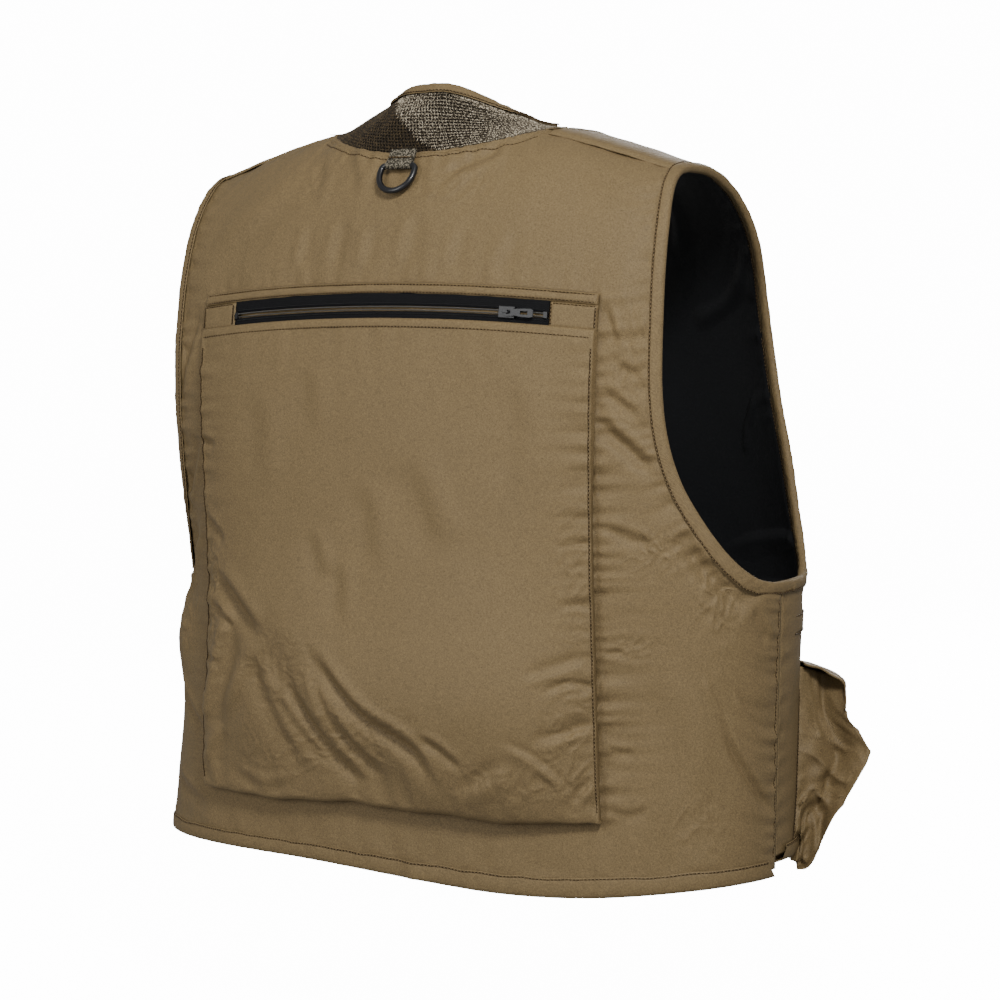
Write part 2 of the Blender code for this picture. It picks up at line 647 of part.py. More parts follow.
def front_pocket(kind, s, side, spec):
    """An open-topped bellows bag, its flap, and the hook and loop patches between them."""
    r0, r1 = spec["r"]
    hs, oh = (np.array(v) for v in zip(*spec["bag"]))
    mouth, depth_ = hs[-1], oh[-1]
    r1s = r1 + spec["slant"] * np.clip(1 - hs / mouth, 0, 1)
    inner = np.linspace(0.025, 0.975, 9)
    t = np.concatenate([[0], inner, [1]])
    r = r0 + (r1s - r0)[:, None] * t[None]
    o = oh[:, None] + 0 * r
    o[:, [0, -1]] = 0.0012
    h = hs[:, None] + 0 * r
    front = Vector((0, -1, 0))
    sheet(f"{kind}_pocket_{side}", "tan", skin(share_x(s, r, h), h, False, o + CLOTH), -CLOTH, front)

    fr = np.linspace(r0 - 0.008, r1 + 0.008, 11)
    hinge, end = spec["hinge"], spec["flap"]
    lid = depth_ + CLOTH + 0.0034
    fh = np.array([hinge, hinge - 0.002, mouth + 0.006, mouth - 0.002, (mouth + end) / 2, end])
    fo = np.array([0.0012, 0.0030, lid, lid, lid, lid])
    r, h = np.broadcast_arrays(fr[None], fh[:, None])
    grid = skin(share_x(s, r, h), h, False, fo[:, None] + 0 * r)
    pivot = Vector(grid[0, 5])
    flap = sheet(f"{kind}_flap_{side}", "tan", grid, 0.0014, front)
    move_origin(flap, pivot)

    mid, half = (r0 + r1) / 2, (r1 - r0) * 0.17
    pr = np.linspace(mid - half, mid + half, 7)[None]
    ph = np.array([end + 0.006, end + 0.022])[:, None]
    for piece, base in (("loop", depth_ + CLOTH + 0.0006), ("hook", depth_ + CLOTH + 0.0020)):
        x = share_x(s, pr + 0 * ph, ph + 0 * pr)
        ob = slab(f"{kind}_{piece}_{side}", "velcro", x, ph + 0 * pr, False, base, base + 0.0009)
        if piece == "hook":
            move_origin(ob, pivot)


def move_origin(ob, point):
    ob.data.transform(Matrix.Translation(-point))
    ob.matrix_world = Matrix.Translation(point)


def box(name, finish, frame, size, bevel):
    bm = bmesh.new()
    bmesh.ops.create_cube(bm, size=1)
    bmesh.ops.scale(bm, vec=size, verts=bm.verts)
    mesh = bpy.data.meshes.new(name)
    bm.to_mesh(mesh)
    bm.free()
    ob = add(name, finish, mesh, frame)
    mod = ob.modifiers.new("edge", "BEVEL")
    mod.width = bevel
    mod.segments = 2
    return ob


def small_pieces():
    """Fly patch on the wearer's right chest and the tab that bridges each side seam."""
    x, h = -0.118, 0.455
    e = 0.006
    up = Vector(skin(x, h + e, False) - skin(x, h - e, False)).normalized()
    acr = Vector(skin(x + e, h, False) - skin(x - e, h, False)).normalized()
    up = (up - acr * up.dot(acr)).normalized()
    out = acr.cross(up)
    p = Vector(skin(x, h, False)) + out * 0.0085
    box("fly_patch", "fleece", axes(p, acr, up, out), (0.056, 0.034, 0.007), 0.0015)
    for s, side in ((1, "left"), (-1, "right")):
        r = np.linspace(0.945, 0.9985, 6)[None]
        h = np.array([0.172, 0.188])[:, None]
        slab("side_tab_" + side, "tan", share_x(s, r + 0 * h, h + 0 * r), h + 0 * r, False, 0.0008, 0.0024)


def main():
    start()
    shells()
    hems()
    armhole_bindings()
    facings()
    collar()
    d_rings()
    back_zip()
    back_pocket()
    front_zip()
    for s, side in ((1, "left"), (-1, "right")):
        front_pocket("chest", s, side, CHEST)
        front_pocket("lower", s, side, LOWER)
    small_pieces()


main()
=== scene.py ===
"""Looks of the fishing vest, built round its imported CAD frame.

Metres, in the CAD frame: +X is the wearer's left, +Y is out of the wearer's back, +Z is up.
Heights h are counted up from the hem. Each cloth piece is a dense grid over the same body
surface as the CAD, moved out by folds, seam puckers and noise.
"""
import math

import bpy
import numpy as np
from mathutils import Matrix, Vector


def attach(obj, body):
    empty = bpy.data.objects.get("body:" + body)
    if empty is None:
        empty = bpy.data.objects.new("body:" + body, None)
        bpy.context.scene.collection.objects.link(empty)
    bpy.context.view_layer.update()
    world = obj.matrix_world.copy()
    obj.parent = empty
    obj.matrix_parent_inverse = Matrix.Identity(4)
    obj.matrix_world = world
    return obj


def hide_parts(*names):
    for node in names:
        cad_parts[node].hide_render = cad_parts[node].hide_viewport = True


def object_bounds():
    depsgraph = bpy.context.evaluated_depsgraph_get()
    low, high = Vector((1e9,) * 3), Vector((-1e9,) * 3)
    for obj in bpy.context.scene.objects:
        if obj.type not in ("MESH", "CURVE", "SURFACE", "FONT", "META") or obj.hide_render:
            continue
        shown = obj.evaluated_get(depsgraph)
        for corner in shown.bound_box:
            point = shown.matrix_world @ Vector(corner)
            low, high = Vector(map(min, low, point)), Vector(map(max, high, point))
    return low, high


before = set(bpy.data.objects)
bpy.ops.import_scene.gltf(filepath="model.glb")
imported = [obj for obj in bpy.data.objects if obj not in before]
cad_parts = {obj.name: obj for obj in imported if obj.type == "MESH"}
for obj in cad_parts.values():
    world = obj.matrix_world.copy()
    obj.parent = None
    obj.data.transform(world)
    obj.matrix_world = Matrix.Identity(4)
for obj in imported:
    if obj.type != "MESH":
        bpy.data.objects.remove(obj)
cad_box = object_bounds()
SIDES = ((1, "left"), (-1, "right"))

# ---- body of the vest (h = height above the hem) ----
NECK_H = 0.563                      # hem to neck point
NECK_X = 0.103                      # neck point from the centre
TIP_X = 0.217                       # shoulder tip from the centre
SHOULDER_DROP = 0.032               # neck point to shoulder tip
PIT_H = 0.2165                      # hem to the bottom of the armhole
HEM_W = 0.276                       # half width at the hem
PIT_LEFT, PIT_RIGHT = 0.246, 0.287  # half width at the armholes as it drapes
UPPER_W = 0.272                     # half width of the section that the armholes cut
ROUND = 2.3                         # exponent of the body's rounded section
BACK_DEPTH, BACK_BEND = 0.1165, 0.30    # depth, and the height where it starts to bend in
FRONT_DEPTH, FRONT_LEAN, FRONT_BEND = 0.146, 0.075, 0.34
BACK_NECK_H, BACK_NECK_RISE = 0.547, 0.015
HEM_DIP, HEM_DIP_X, HEM_DIP_W, HEM_DIP_H = 0.020, -0.14, 0.17, 0.12   # the back hem hangs lower

SEAM = 0.00025                      # half gap at the shoulder and side seams
HEM_BAND, ARM_BAND, FACING = 0.012, 0.0095, 0.012   # widths of the bands that close the edges
LAP = 0.006                         # how far the fronts run under the band on their front edge

# ---- front edge, neck and collar ----
EDGE_X = 0.010                      # front edge from the centre
V_H = 0.334                         # height where the V-neck starts
COLLAR_SPAN = math.radians(97)

# ---- armhole edge, from the pit up: (share, height). x is ARM_BACK_X or ARM_FRONT_X at share 0, the
# pit's half width at 1, and ARM_IN times the share further in below 0 ----
ARM_BACK_X, ARM_FRONT_X, ARM_IN = 0.2275, 0.219, 0.06
ARM_BACK = [(1, 0.2165), (0.90, 0.2225), (0.70, 0.240), (0.45, 0.267), (0.22, 0.297), (0.07, 0.331),
            (0, 0.37), (-0.02, 0.43), (-0.07, 0.49)]
ARM_FRONT = [(1, 0.2165), (0.881, 0.2180), (0.702, 0.235), (0.536, 0.265), (0.357, 0.31),
             (0.131, 0.36), (0, 0.42), (0.05, 0.48)]

# ---- back pocket and its zip, which runs on an arc about an axis tilted back by ZIP_TILT ----
POCKET_X = 0.182
POCKET_TOP = 0.449
BAG_SIDE = 0.0062                   # height of the bag's side wall
ZIP_H, ZIP_X, ZIP_R, ZIP_Y = 0.4295, 0.1456, 0.690, 0.1119
ZIP_TILT = math.radians(24.75)
ZIP_CONE = math.radians(-14.8)      # slope of the tape against that axis
TAPE = 0.0105                       # half width of a closed zip's tape

# ---- front pockets: section share from and to, (height, depth) of the bag, hinge, flap end ----
CHEST = dict(r=(0.25, 0.60), slant=0.0, hinge=0.398, flap=0.352,
             bag=[(0.275, 0.0012), (0.2765, 0.0100), (0.283, 0.0165), (0.300, 0.018),
                  (0.325, 0.018), (0.355, 0.018), (0.386, 0.018)])
LOWER = dict(r=(0.46, 0.925), slant=0.055, hinge=0.146, flap=0.108,
             bag=[(0.004, 0.0012), (0.0055, 0.0070), (0.016, 0.0160), (0.038, 0.0320),
                  (0.060, 0.0460), (0.075, 0.0540), (0.088, 0.0490), (0.102, 0.0380),
                  (0.115, 0.0350), (0.128, 0.0350)])
CLOTH = 0.0012                      # cloth of a pocket with its seam allowance


def smooth(t):
    t = np.clip(t, 0, 1)
    return t * t * (3 - 2 * t)


def unit(v):
    return v / np.linalg.norm(v, axis=-1, keepdims=True)


def ridge(x):
    t = (np.abs(x) - NECK_X) / (TIP_X - NECK_X)
    return NECK_H - SHOULDER_DROP * np.sign(t) * np.abs(np.clip(t, -0.6, 1.5)) ** 1.15


def half_width(x, h):
    pit = np.where(np.asarray(x) > 0, PIT_LEFT, PIT_RIGHT)
    low = HEM_W + (pit - HEM_W) * np.clip(np.asarray(h) / PIT_H, 0, 1)
    return low + (UPPER_W - low) * smooth((h - PIT_H) / (0.40 - PIT_H))


def depth_at(h, back):
    return BACK_DEPTH + 0 * h if back else FRONT_DEPTH + FRONT_LEAN * h


def shares(x, h, back):
    bend = BACK_BEND if back else FRONT_BEND
    r = np.abs(x) / half_width(x, h)
    t = np.maximum((h - bend) / (ridge(x) - bend), 0)
    return r, t


def depth(x, h, back):
    r, t = shares(x, h, back)
    inside = np.clip(1 - r ** ROUND, 0, 1) * np.clip(1 - t ** ROUND, 0, 1)
    return depth_at(h, back) * inside ** (1 / ROUND)


def field(x, y, h, back):
    r, t = shares(x, h, back)
    return (np.abs(y) / depth_at(h, back)) ** ROUND - (1 - r ** ROUND) * (1 - t ** ROUND)


def skin(x, h, back, out=0.0, seam=SEAM):
    """Points of the body's surface at (x, h), moved outward by out."""
    x, h = np.broadcast_arrays(np.asarray(x, float), np.asarray(h, float))
    sign = 1 if back else -1
    y = sign * depth(x, h, back)
    e = 1e-5
    slope = [field(x + a, y + b, h + c, back) - field(x - a, y - b, h - c, back)
             for a, b, c in ((e, 0, 0), (0, e, 0), (0, 0, e))]
    n = unit(np.stack(slope, -1))
    p = np.stack([x, y + sign * seam, h - NECK_H], -1) + n * np.asarray(out)[..., None]
    if back:
        fade = np.clip(1 - h / HEM_DIP_H, 0, 1) ** 2
        p[..., 2] -= HEM_DIP * np.exp(-((x - HEM_DIP_X) / HEM_DIP_W) ** 2) * fade
    return p


def spline(points, k):
    """Catmull-Rom curve through the points, k from 0 to 1, with its direction."""
    pts = np.vstack([2 * points[0] - points[1], points, 2 * points[-1] - points[-2]])
    seg = np.clip(np.asarray(k) * (len(points) - 1), 0, len(points) - 1 - 1e-9)
    i = seg.astype(int)
    t = (seg - i)[:, None]
    a, b, c, d = pts[i], pts[i + 1], pts[i + 2], pts[i + 3]
    two, three = 2 * a - 5 * b + 4 * c - d, 3 * b - a - 3 * c + d
    p = 0.5 * (2 * b + (c - a) * t + two * t ** 2 + three * t ** 3)
    return p, unit(0.5 * (c - a + 2 * two * t + 3 * three * t ** 2))


def arm_edge(side, back, k, inset):
    """Armhole edge on one side, from the side seam (k = 0) to the shoulder tip, moved off the hole."""
    pit = PIT_LEFT if side > 0 else PIT_RIGHT
    base = ARM_BACK_X if back else ARM_FRONT_X
    pts = [(base + s * (pit - base if s > 0 else ARM_IN), h) for s, h in (ARM_BACK if back else ARM_FRONT)]
    pts.append((TIP_X, float(ridge(TIP_X))))
    p, v = spline(np.array(pts), k)
    x = p[:, 0] - inset * np.abs(v[:, 1])
    drop = -inset * np.abs(v[:, 0])
    rise = ridge(x) - ridge(p[:, 0])
    h = p[:, 1] + drop + (rise - drop) * smooth((k - 0.6) / 0.4)
    h[0] = PIT_H - inset
    x = np.minimum(x, half_width(side * x, h))
    x[0] = half_width(side, h[0])
    h[-1] = ridge(x[-1])
    return x, np.maximum.accumulate(h)


ARM_K = np.concatenate([np.linspace(0, 0.8, 200), 1 - 0.2 * (1 - np.linspace(0, 1, 70)[1:]) ** 1.3])
TUCK = 0.005                        # how far the panels run under the bindings and bands
LOW_H = np.linspace(TUCK, PIT_H - TUCK, 130)[:-1]
BACK_S = np.sin(np.linspace(0, 1, 230) * math.pi / 2)
FRONT_S = np.sin(np.linspace(0, 1, 120) * math.pi / 2)


def back_top(x):
    return np.where(np.abs(x) < NECK_X - 1e-6,
                    BACK_NECK_H + BACK_NECK_RISE * (x / NECK_X) ** 2, ridge(x))


def back_grid():
    halves = []
    edges = {s: arm_edge(s, True, ARM_K, TUCK) for s in (-1, 1)}
    centre = (edges[-1][1] + edges[1][1]) / 2
    f = 0.6 * (centre - centre[0]) / (centre[-1] - centre[0]) + 0.4 * ARM_K
    for s in (-1, 1):
        ex, eh = edges[s]
        x_low = half_width(s, LOW_H)[:, None] * BACK_S[None]
        h_low = LOW_H[:, None] + 0 * x_low
        top = back_top(ex[-1] * BACK_S) - back_top(ex[-1])
        h_up = centre[:, None] + (eh - centre)[:, None] * BACK_S[None] ** 2 + f[:, None] ** 2 * top[None]
        halves.append((s * np.vstack([x_low, ex[:, None] * BACK_S[None]]), np.vstack([h_low, h_up])))
    return (np.hstack([right[:, ::-1], left[:, 1:]]) for right, left in zip(*halves))


def v_edge(h):
    """Finished front edge: straight beside the zip, then the V-neck up to the neck point."""
    t = np.clip((h - V_H) / (NECK_H - V_H), 0, 1)
    return EDGE_X + (NECK_X - EDGE_X) * t ** 1.2


def front_grid(s):
    ex, eh = arm_edge(s, False, ARM_K, TUCK)
    inner_top = NECK_X + FACING - LAP
    f = 0.6 * (eh - eh[0]) / (eh[-1] - eh[0]) + 0.4 * ARM_K
    vh = eh[0] + f * (ridge(inner_top) - eh[0])
    vx = np.minimum(v_edge(vh + (NECK_H - ridge(inner_top)) * f) + FACING - LAP, inner_top)
    start_low = EDGE_X + FACING - LAP
    x_low = start_low + (half_width(s, LOW_H) - start_low)[:, None] * FRONT_S[None]
    h_low = LOW_H[:, None] + 0 * x_low
    x_up = vx[:, None] + (ex - vx)[:, None] * FRONT_S[None]
    line = vh[:, None] + (eh - vh)[:, None] * FRONT_S[None]
    top = ridge(x_up[-1]) - line[-1]
    h_up = line + f[:, None] ** 2 * top[None]
    return s * np.vstack([x_low, x_up]), np.vstack([h_low, h_up])


def collar_base(th, shrink=0.0036):
    return np.stack([(NECK_X - shrink) * np.sin(th), (0.064 - shrink) * np.cos(th),
                     BACK_NECK_H + BACK_NECK_RISE * np.sin(th) ** 2 - NECK_H + 0.0024], -1)


def collar_rise(th):
    k = 1 - smooth((np.abs(th) - math.radians(62)) / math.radians(35)) * 0.86
    right = smooth(-th)             # the wearer's right side stands lower
    z = (0.047 - 0.010 * right) * np.cos(th) ** (1.05 + 0.45 * right)
    return np.stack([-0.031 * np.sin(th), -0.039 + 0 * th, z], -1) * k[:, None]


def arch(x):
    """How far the zip, its band and its patches hang below their middle at x."""
    return math.sin(ZIP_TILT) * (np.sqrt(ZIP_R ** 2 - x ** 2) - ZIP_R)


def arc_skin(x, w, out):
    """Points on the zip's arc: w across the tape from its middle, out from the tape's mid surface."""
    x, w = np.broadcast_arrays(np.asarray(x, float), np.asarray(w, float))
    axis = np.array([0, -math.sin(ZIP_TILT), math.cos(ZIP_TILT)])
    spoke = np.array([0, math.cos(ZIP_TILT), math.sin(ZIP_TILT)])
    centre = np.array([0, ZIP_Y, ZIP_H - NECK_H]) - ZIP_R * spoke
    rad = ZIP_R - math.sin(ZIP_CONE) * w + math.cos(ZIP_CONE) * out
    rise = math.cos(ZIP_CONE) * w + math.sin(ZIP_CONE) * out
    p = centre + rise[..., None] * axis + np.sqrt(rad ** 2 - x ** 2)[..., None] * spoke
    p[..., 0] += x
    return p


def share_x(s, r, h):
    """x at a share r of the half width, on side s."""
    return s * r * half_width(s, h)


# ---------------------------------------------------------------- noise, folds and puckers
def noise(u, v, seed):
    """Smooth 2-D noise, about -1 to 1, one cell per unit."""
    angle = np.random.default_rng(seed).random(4096) * 2 * math.pi
    u, v = np.broadcast_arrays(np.asarray(u, float), np.asarray(v, float))
    i, j = np.floor(u).astype(np.int64), np.floor(v).astype(np.int64)
    fu, fv = u - i, v - j

    def corner(a, b):
        g = angle[((i + a) * 73856093 ^ (j + b) * 19349663) & 4095]
        return np.cos(g) * (fu - a) + np.sin(g) * (fv - b)

    wu, wv = (t * t * t * (t * (t * 6 - 15) + 10) for t in (fu, fv))
    low = corner(0, 0) * (1 - wu) + corner(1, 0) * wu
    high = corner(0, 1) * (1 - wu) + corner(1, 1) * wu
    return 1.5 * (low * (1 - wv) + high * wv)


def creases(u, v, seed):
    """Sharp crumpled ridges from folded noise, 0 to 1."""
    bend = noise(u * 0.7, v * 0.7, seed + 1)
    return (1 - np.abs(noise(u + 0.6 * bend, v - 0.6 * bend, seed))) ** 6


def along(u, v, line):
    """Signed distance to a smooth line, its arc length there, and the line's whole length."""
    pts = np.array(line, float)
    path = spline(pts, np.linspace(0, 1, 6 * len(pts)))[0] if len(pts) > 2 else pts
    best, side, s, run = np.full(u.shape, 1e9), np.zeros(u.shape), np.zeros(u.shape), 0.0
    for a, b in zip(path[:-1], path[1:]):
        d = b - a
        size = float(np.hypot(*d))
        t = np.clip(((u - a[0]) * d[0] + (v - a[1]) * d[1]) / size ** 2, 0, 1)
        du, dv = u - a[0] - t * d[0], v - a[1] - t * d[1]
        dist = np.hypot(du, dv)
        near = dist < best
        best = np.where(near, dist, best)
        side = np.where(near, np.sign(d[0] * dv - d[1] * du), side)
        s = np.where(near, run + t * size, s)
        run += size
    return best * side, s, run


FOLD_FADE = 0.3                     # share of a fold's length over which each end fades


def fold(u, v, line, width, valley, crest):
    """A valley on the left of a line, with a crest on its right."""
    d, s, total = along(u, v, line)
    t = s / total
    fade = smooth(t / FOLD_FADE) * smooth((1 - t) / FOLD_FADE)
    cap = np.where((t <= 0) | (t >= 1), 0, 1)
    up = crest * np.exp(-((d + 0.9 * width) / (0.8 * width)) ** 2)
    return (up - valley * np.exp(-((d - 0.5 * width) / width) ** 2)) * fade * cap


def folds(u, v, table):
    return sum(fold(u, v, *row) for row in table)


def crumple(u, v, x, h, wide, tall, height, scale, seed):
    """A patch of small sharp wrinkles."""
    window = np.exp(-((u - x) / wide) ** 2 - ((v - h) / tall) ** 2)
    small = noise(u * scale * 1.7, v * scale * 1.7, seed + 2)
    return height * (creases(u * scale, v * scale, seed) - 0.35 + 0.4 * small) * window


def crumples(u, v, table, seed):
    return sum(crumple(u, v, *row, seed + 10 * i) for i, row in enumerate(table))


def pucker(u, v, line, height, wave, reach, seed):
    """Gathers that run off a seam, strongest at the thread."""
    d, s, _ = along(u, v, line)
    d = np.abs(d)
    ripple = noise(s / wave, 0.12 * d / wave + 7.3, seed)
    return height * ripple * np.exp(-d / reach) * (1 - 0.6 * np.exp(-(d / 0.002) ** 2))


# ---------------------------------------------------------------- materials
def material(name, rgb, rough, weave=None, depth_mm=0.05, vary=0.10, blotch=0.05, grain=900,
             coat=0.0, sheen=0.0, kind="plain", crinkle=0.0, speck=None):
    """Procedural finish: a woven or grainy height with colour and roughness that follow it."""
    mat = bpy.data.materials.new(name)
    mat.use_nodes = True
    tree = mat.node_tree
    bsdf = tree.nodes["Principled BSDF"]
    gloss = 0.5 if rough < 0.5 else 0.28 if rough < 0.8 else 0.12
    for socket, value in (("Specular IOR Level", gloss), ("Coat Weight", coat),
                          ("Sheen Weight", sheen), ("Sheen Roughness", 0.45)):
        bsdf.inputs[socket].default_value = value
    coords = tree.nodes.new("ShaderNodeTexCoord")

    def fill(socket, value):
        if value is None:
            return
        if isinstance(value, bpy.types.NodeSocket):
            tree.links.new(value, socket)
        else:
            socket.default_value = (*value, 1) if isinstance(value, tuple) else value

    def node(kind, **sockets):
        n = tree.nodes.new("ShaderNode" + kind)
        for socket, value in sockets.items():
            fill(n.inputs[socket], value)
        return n

    def maths(op, a, b=0.0, c=None, clamp=False):
        n = node("Math")
        n.operation, n.use_clamp = op, clamp
        for socket, value in zip(n.inputs, (a, b, c)):
            fill(socket, value)
        return n.outputs[0]

    def mixed(factor, a, b, blend="MIX"):
        n = node("Mix")
        n.data_type, n.blend_type = "RGBA", blend
        for socket, value in ((n.inputs["Factor"], factor), (n.inputs[6], a), (n.inputs[7], b)):
            fill(socket, value)
        return n.outputs[2]

    def grains(**sockets):
        return node("TexNoise", Vector=coords.outputs["Object"], **sockets).outputs["Fac"]

    fine = grains(Scale=float(grain), Detail=2.0, Roughness=0.6)
    wide = grains(Scale=9.0, Detail=4.0, Roughness=0.6)
    height = fine
    if weave:
        xyz = node("SeparateXYZ", Vector=coords.outputs["UV"])
        u, v = (maths("MULTIPLY", xyz.outputs[i], 2 * math.pi / weave) for i in (0, 1))
        if kind == "twill":
            pattern = maths("SINE", maths("ADD", u, v))
        elif kind == "rib":
            zig = maths("MULTIPLY", maths("PINGPONG", u, 2 * math.pi), 0.8)
            pattern = maths("SINE", maths("ADD", v, zig))
        else:
            pattern = maths("MULTIPLY", maths("SINE", u), maths("SINE", v))
        threads = maths("MULTIPLY_ADD", pattern, 0.5, 0.5)
        height = maths("ADD", maths("MULTIPLY", threads, 0.45), maths("MULTIPLY", fine, 0.55))
    dark, light = (tuple(min(c * k, 1) for c in rgb) for k in (1 - vary, 1 + vary))
    colour = mixed(maths("MULTIPLY_ADD", height, 1.8, -0.4, True), dark, light)
    if speck:
        flecks = grains(Scale=850.0, Detail=1.0, Roughness=0.5)
        colour = mixed(maths("MULTIPLY_ADD", flecks, 9.0, -4.3, True), speck, colour)
    shade = mixed(wide, (1 - blotch,) * 3, (1 + blotch,) * 3)
    fill(bsdf.inputs["Base Color"], mixed(1.0, colour, shade, "MULTIPLY"))
    fill(bsdf.inputs["Roughness"], maths("MULTIPLY_ADD", wide, 0.16, rough - 0.08))
    bump = node("Bump", Strength=0.6, Distance=depth_mm / 1000, Height=height)
    if crinkle:
        small = grains(Scale=130.0, Detail=4.0, Roughness=0.62, Distortion=0.6)
        under = node("Bump", Strength=0.7, Distance=crinkle / 1000, Height=small)
        fill(bump.inputs["Normal"], under.outputs["Normal"])
    fill(bsdf.inputs["Normal"], bump.outputs["Normal"])
    return mat


TAN_RGB, METAL_RGB = (0.147, 0.102, 0.046), (0.006, 0.006, 0.007)
TAN = material("tan_nylon", TAN_RGB, 0.66, weave=0.0008, depth_mm=0.09, vary=0.62, grain=820,
               crinkle=0.16)
BAND = material("tan_binding", TAN_RGB, 0.68, weave=0.0010, depth_mm=0.12, vary=0.62, grain=820,
                kind="twill", crinkle=0.20)
THREAD = material("tan_thread", (0.165, 0.112, 0.052), 0.5, grain=3000)
# dark brown for the rods sunk under the stitches: painted shade of the pressed seam line
SEAM_SHADE = material("painted_seam_shade", (0.034, 0.021, 0.009), 0.8, grain=1500, vary=0.3)
BLACK_THREAD = material("black_thread", (0.012, 0.012, 0.012), 0.5, grain=3000)
LINING_MAT = material("black_lining", (0.0075, 0.008, 0.009), 0.55, weave=0.0009, vary=0.4,
                      crinkle=0.3)
NET = material("grey_net", (0.46, 0.40, 0.30), 0.75, grain=2500, depth_mm=0.10, vary=0.3,
               speck=(0.050, 0.038, 0.022))
# a darker copy of the grey net, for the part of the collar turned away from the light: painted shade
NET_SHADE = material("net_painted_shade", (0.070, 0.048, 0.022), 0.75, grain=2500, depth_mm=0.10, vary=0.4,
                    speck=(0.016, 0.011, 0.006))
NET_BACK = material("net_backing", (0.010, 0.008, 0.005), 0.9, depth_mm=0.2, vary=0.5)
TAPE_MAT = material("black_tape", (0.0060, 0.0060, 0.0066), 0.85, weave=0.0017, depth_mm=0.30,
                    vary=0.8, kind="rib")
COIL_MAT = material("black_coil", (0.016, 0.016, 0.017), 0.18, grain=1500, depth_mm=0.01, coat=1.0)
# greyer than the black coil, so the back zip's teeth show as light dots: painted glint
TEETH_GLINT = material("zip_teeth_painted_glint", (0.055, 0.052, 0.046), 0.30, grain=1500, depth_mm=0.01)
METAL = material("black_metal", METAL_RGB, 0.42, grain=1500, depth_mm=0.008)
RING = material("black_ring", METAL_RGB, 0.32, grain=2500, depth_mm=0.006)
WEBBING = material("grey_webbing", (0.20, 0.175, 0.130), 0.80, weave=0.0013, depth_mm=0.22,
                   vary=0.4, kind="rib", speck=(0.020, 0.018, 0.012))
HOOK = material("black_hook", (0.012, 0.012, 0.011), 0.85, grain=1800, depth_mm=0.5, vary=0.5)
LOOP = material("black_loop", (0.018, 0.017, 0.016), 0.95, grain=700, depth_mm=0.6, vary=0.5,
                sheen=0.3)
FLEECE = material("cream_fleece", (0.42, 0.35, 0.23), 0.95, grain=500, depth_mm=1.2, vary=0.25,
                  sheen=0.4)


# ---------------------------------------------------------------- meshes
def metric_uv(p):
    """Distances along both directions of a grid of points, in metres."""
    u = np.zeros(p.shape[:2])
    v = np.zeros(p.shape[:2])
    u[:, 1:] = np.cumsum(np.linalg.norm(np.diff(p, axis=1), axis=-1), 1)
    v[1:] = np.cumsum(np.linalg.norm(np.diff(p, axis=0), axis=-1), 0)
    u -= u[:, u.shape[1] // 2][:, None]
    return np.stack([u, v], -1)


def new_mesh(name, verts, faces, uv=None):
    mesh = bpy.data.meshes.new(name)
    mesh.from_pydata(np.asarray(verts).reshape(-1, 3).tolist(), [], faces)
    if uv is not None:
        mesh.uv_layers.new(name="UVMap").data.foreach_set("uv", np.asarray(uv, np.float32).ravel())
    mesh.polygons.foreach_set("use_smooth", np.ones(len(mesh.polygons), bool))
    mesh.update()
    return mesh


def placed(name, data):
    ob = bpy.data.objects.new(name, data)
    bpy.context.scene.collection.objects.link(ob)
    return ob


def show(mesh, name, mat, body, replaced=()):
    """Puts a mesh in the scene with its material, riding on a body, and hides the CAD nodes it stands for."""
    ob = placed(name, mesh)
    mesh.materials.append(mat)
    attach(ob, body)
    if replaced:
        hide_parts(*replaced)
    return ob


def outward(p, centre):
    """Whether a grid's faces, as wound, look away from an upright axis through centre."""
    n = np.cross(p[1:, :-1] - p[:-1, :-1], p[:-1, 1:] - p[:-1, :-1])
    return (n * ((p[:-1, :-1] - np.asarray(centre)) * [1, 1, 0])).sum() < 0


def cloth(name, p, mat, replaced, body="vest", thick=0.0009, wrap=False, centre=(0, -0.02, 0)):
    """A sheet of cloth through a grid of points, thickened inward; wrap closes the rows into a loop."""
    full = np.concatenate([p, p[:1]]) if wrap else p
    n, m = p.shape[:2]
    idx = np.arange(n * m).reshape(n, m)
    if wrap:
        idx = np.vstack([idx, idx[:1]])
    uv = metric_uv(full)
    quad = [(0, 0), (0, 1), (1, 1), (1, 0)]
    if not outward(p, centre):
        quad = quad[::-1]
    rows, cols = idx.shape[0] - 1, idx.shape[1] - 1
    pick = [(slice(a, rows + a), slice(b, cols + b)) for a, b in quad]
    faces = np.stack([idx[s] for s in pick], -1).reshape(-1, 4).tolist()
    loops = np.stack([uv[s] for s in pick], -2).reshape(-1, 2)
    ob = show(new_mesh(name, p, faces, loops), name, mat, body, replaced)
    if thick:
        mod = ob.modifiers.new("cloth", "SOLIDIFY")
        mod.thickness, mod.offset, mod.use_even_offset = thick, -1, False


ROD_SIDES = 6
ROD_SINK = [(-0.5, 0.35, -1), (-0.36, 0.9, 0), (0.36, 0.9, 0), (0.5, 0.35, -1)]  # along, radius, lift


def capsules(centres, tangents, normals, length, radius, sink):
    """Short bent rods, such as stitches and zip teeth: their vertices, and one rod's faces."""
    b = np.cross(tangents, normals)
    n = np.cross(b, tangents)
    ang = np.linspace(0, 2 * math.pi, ROD_SIDES, endpoint=False)[None, :, None]
    rings = []
    for t, r, lift in ROD_SINK:
        c = centres + tangents * t * length + n * (lift * sink) * radius * 2
        rings.append(c[:, None] + r * radius * (np.cos(ang) * n[:, None] + np.sin(ang) * b[:, None]))
    k, s = len(ROD_SINK), ROD_SIDES
    faces = [(i * s + j, i * s + (j + 1) % s, (i + 1) * s + (j + 1) % s, (i + 1) * s + j)
             for i in range(k - 1) for j in range(s)]
    faces += [tuple(range(s))[::-1], tuple(range((k - 1) * s, k * s))]
    return np.stack(rings, 1).reshape(len(centres), -1, 3), faces


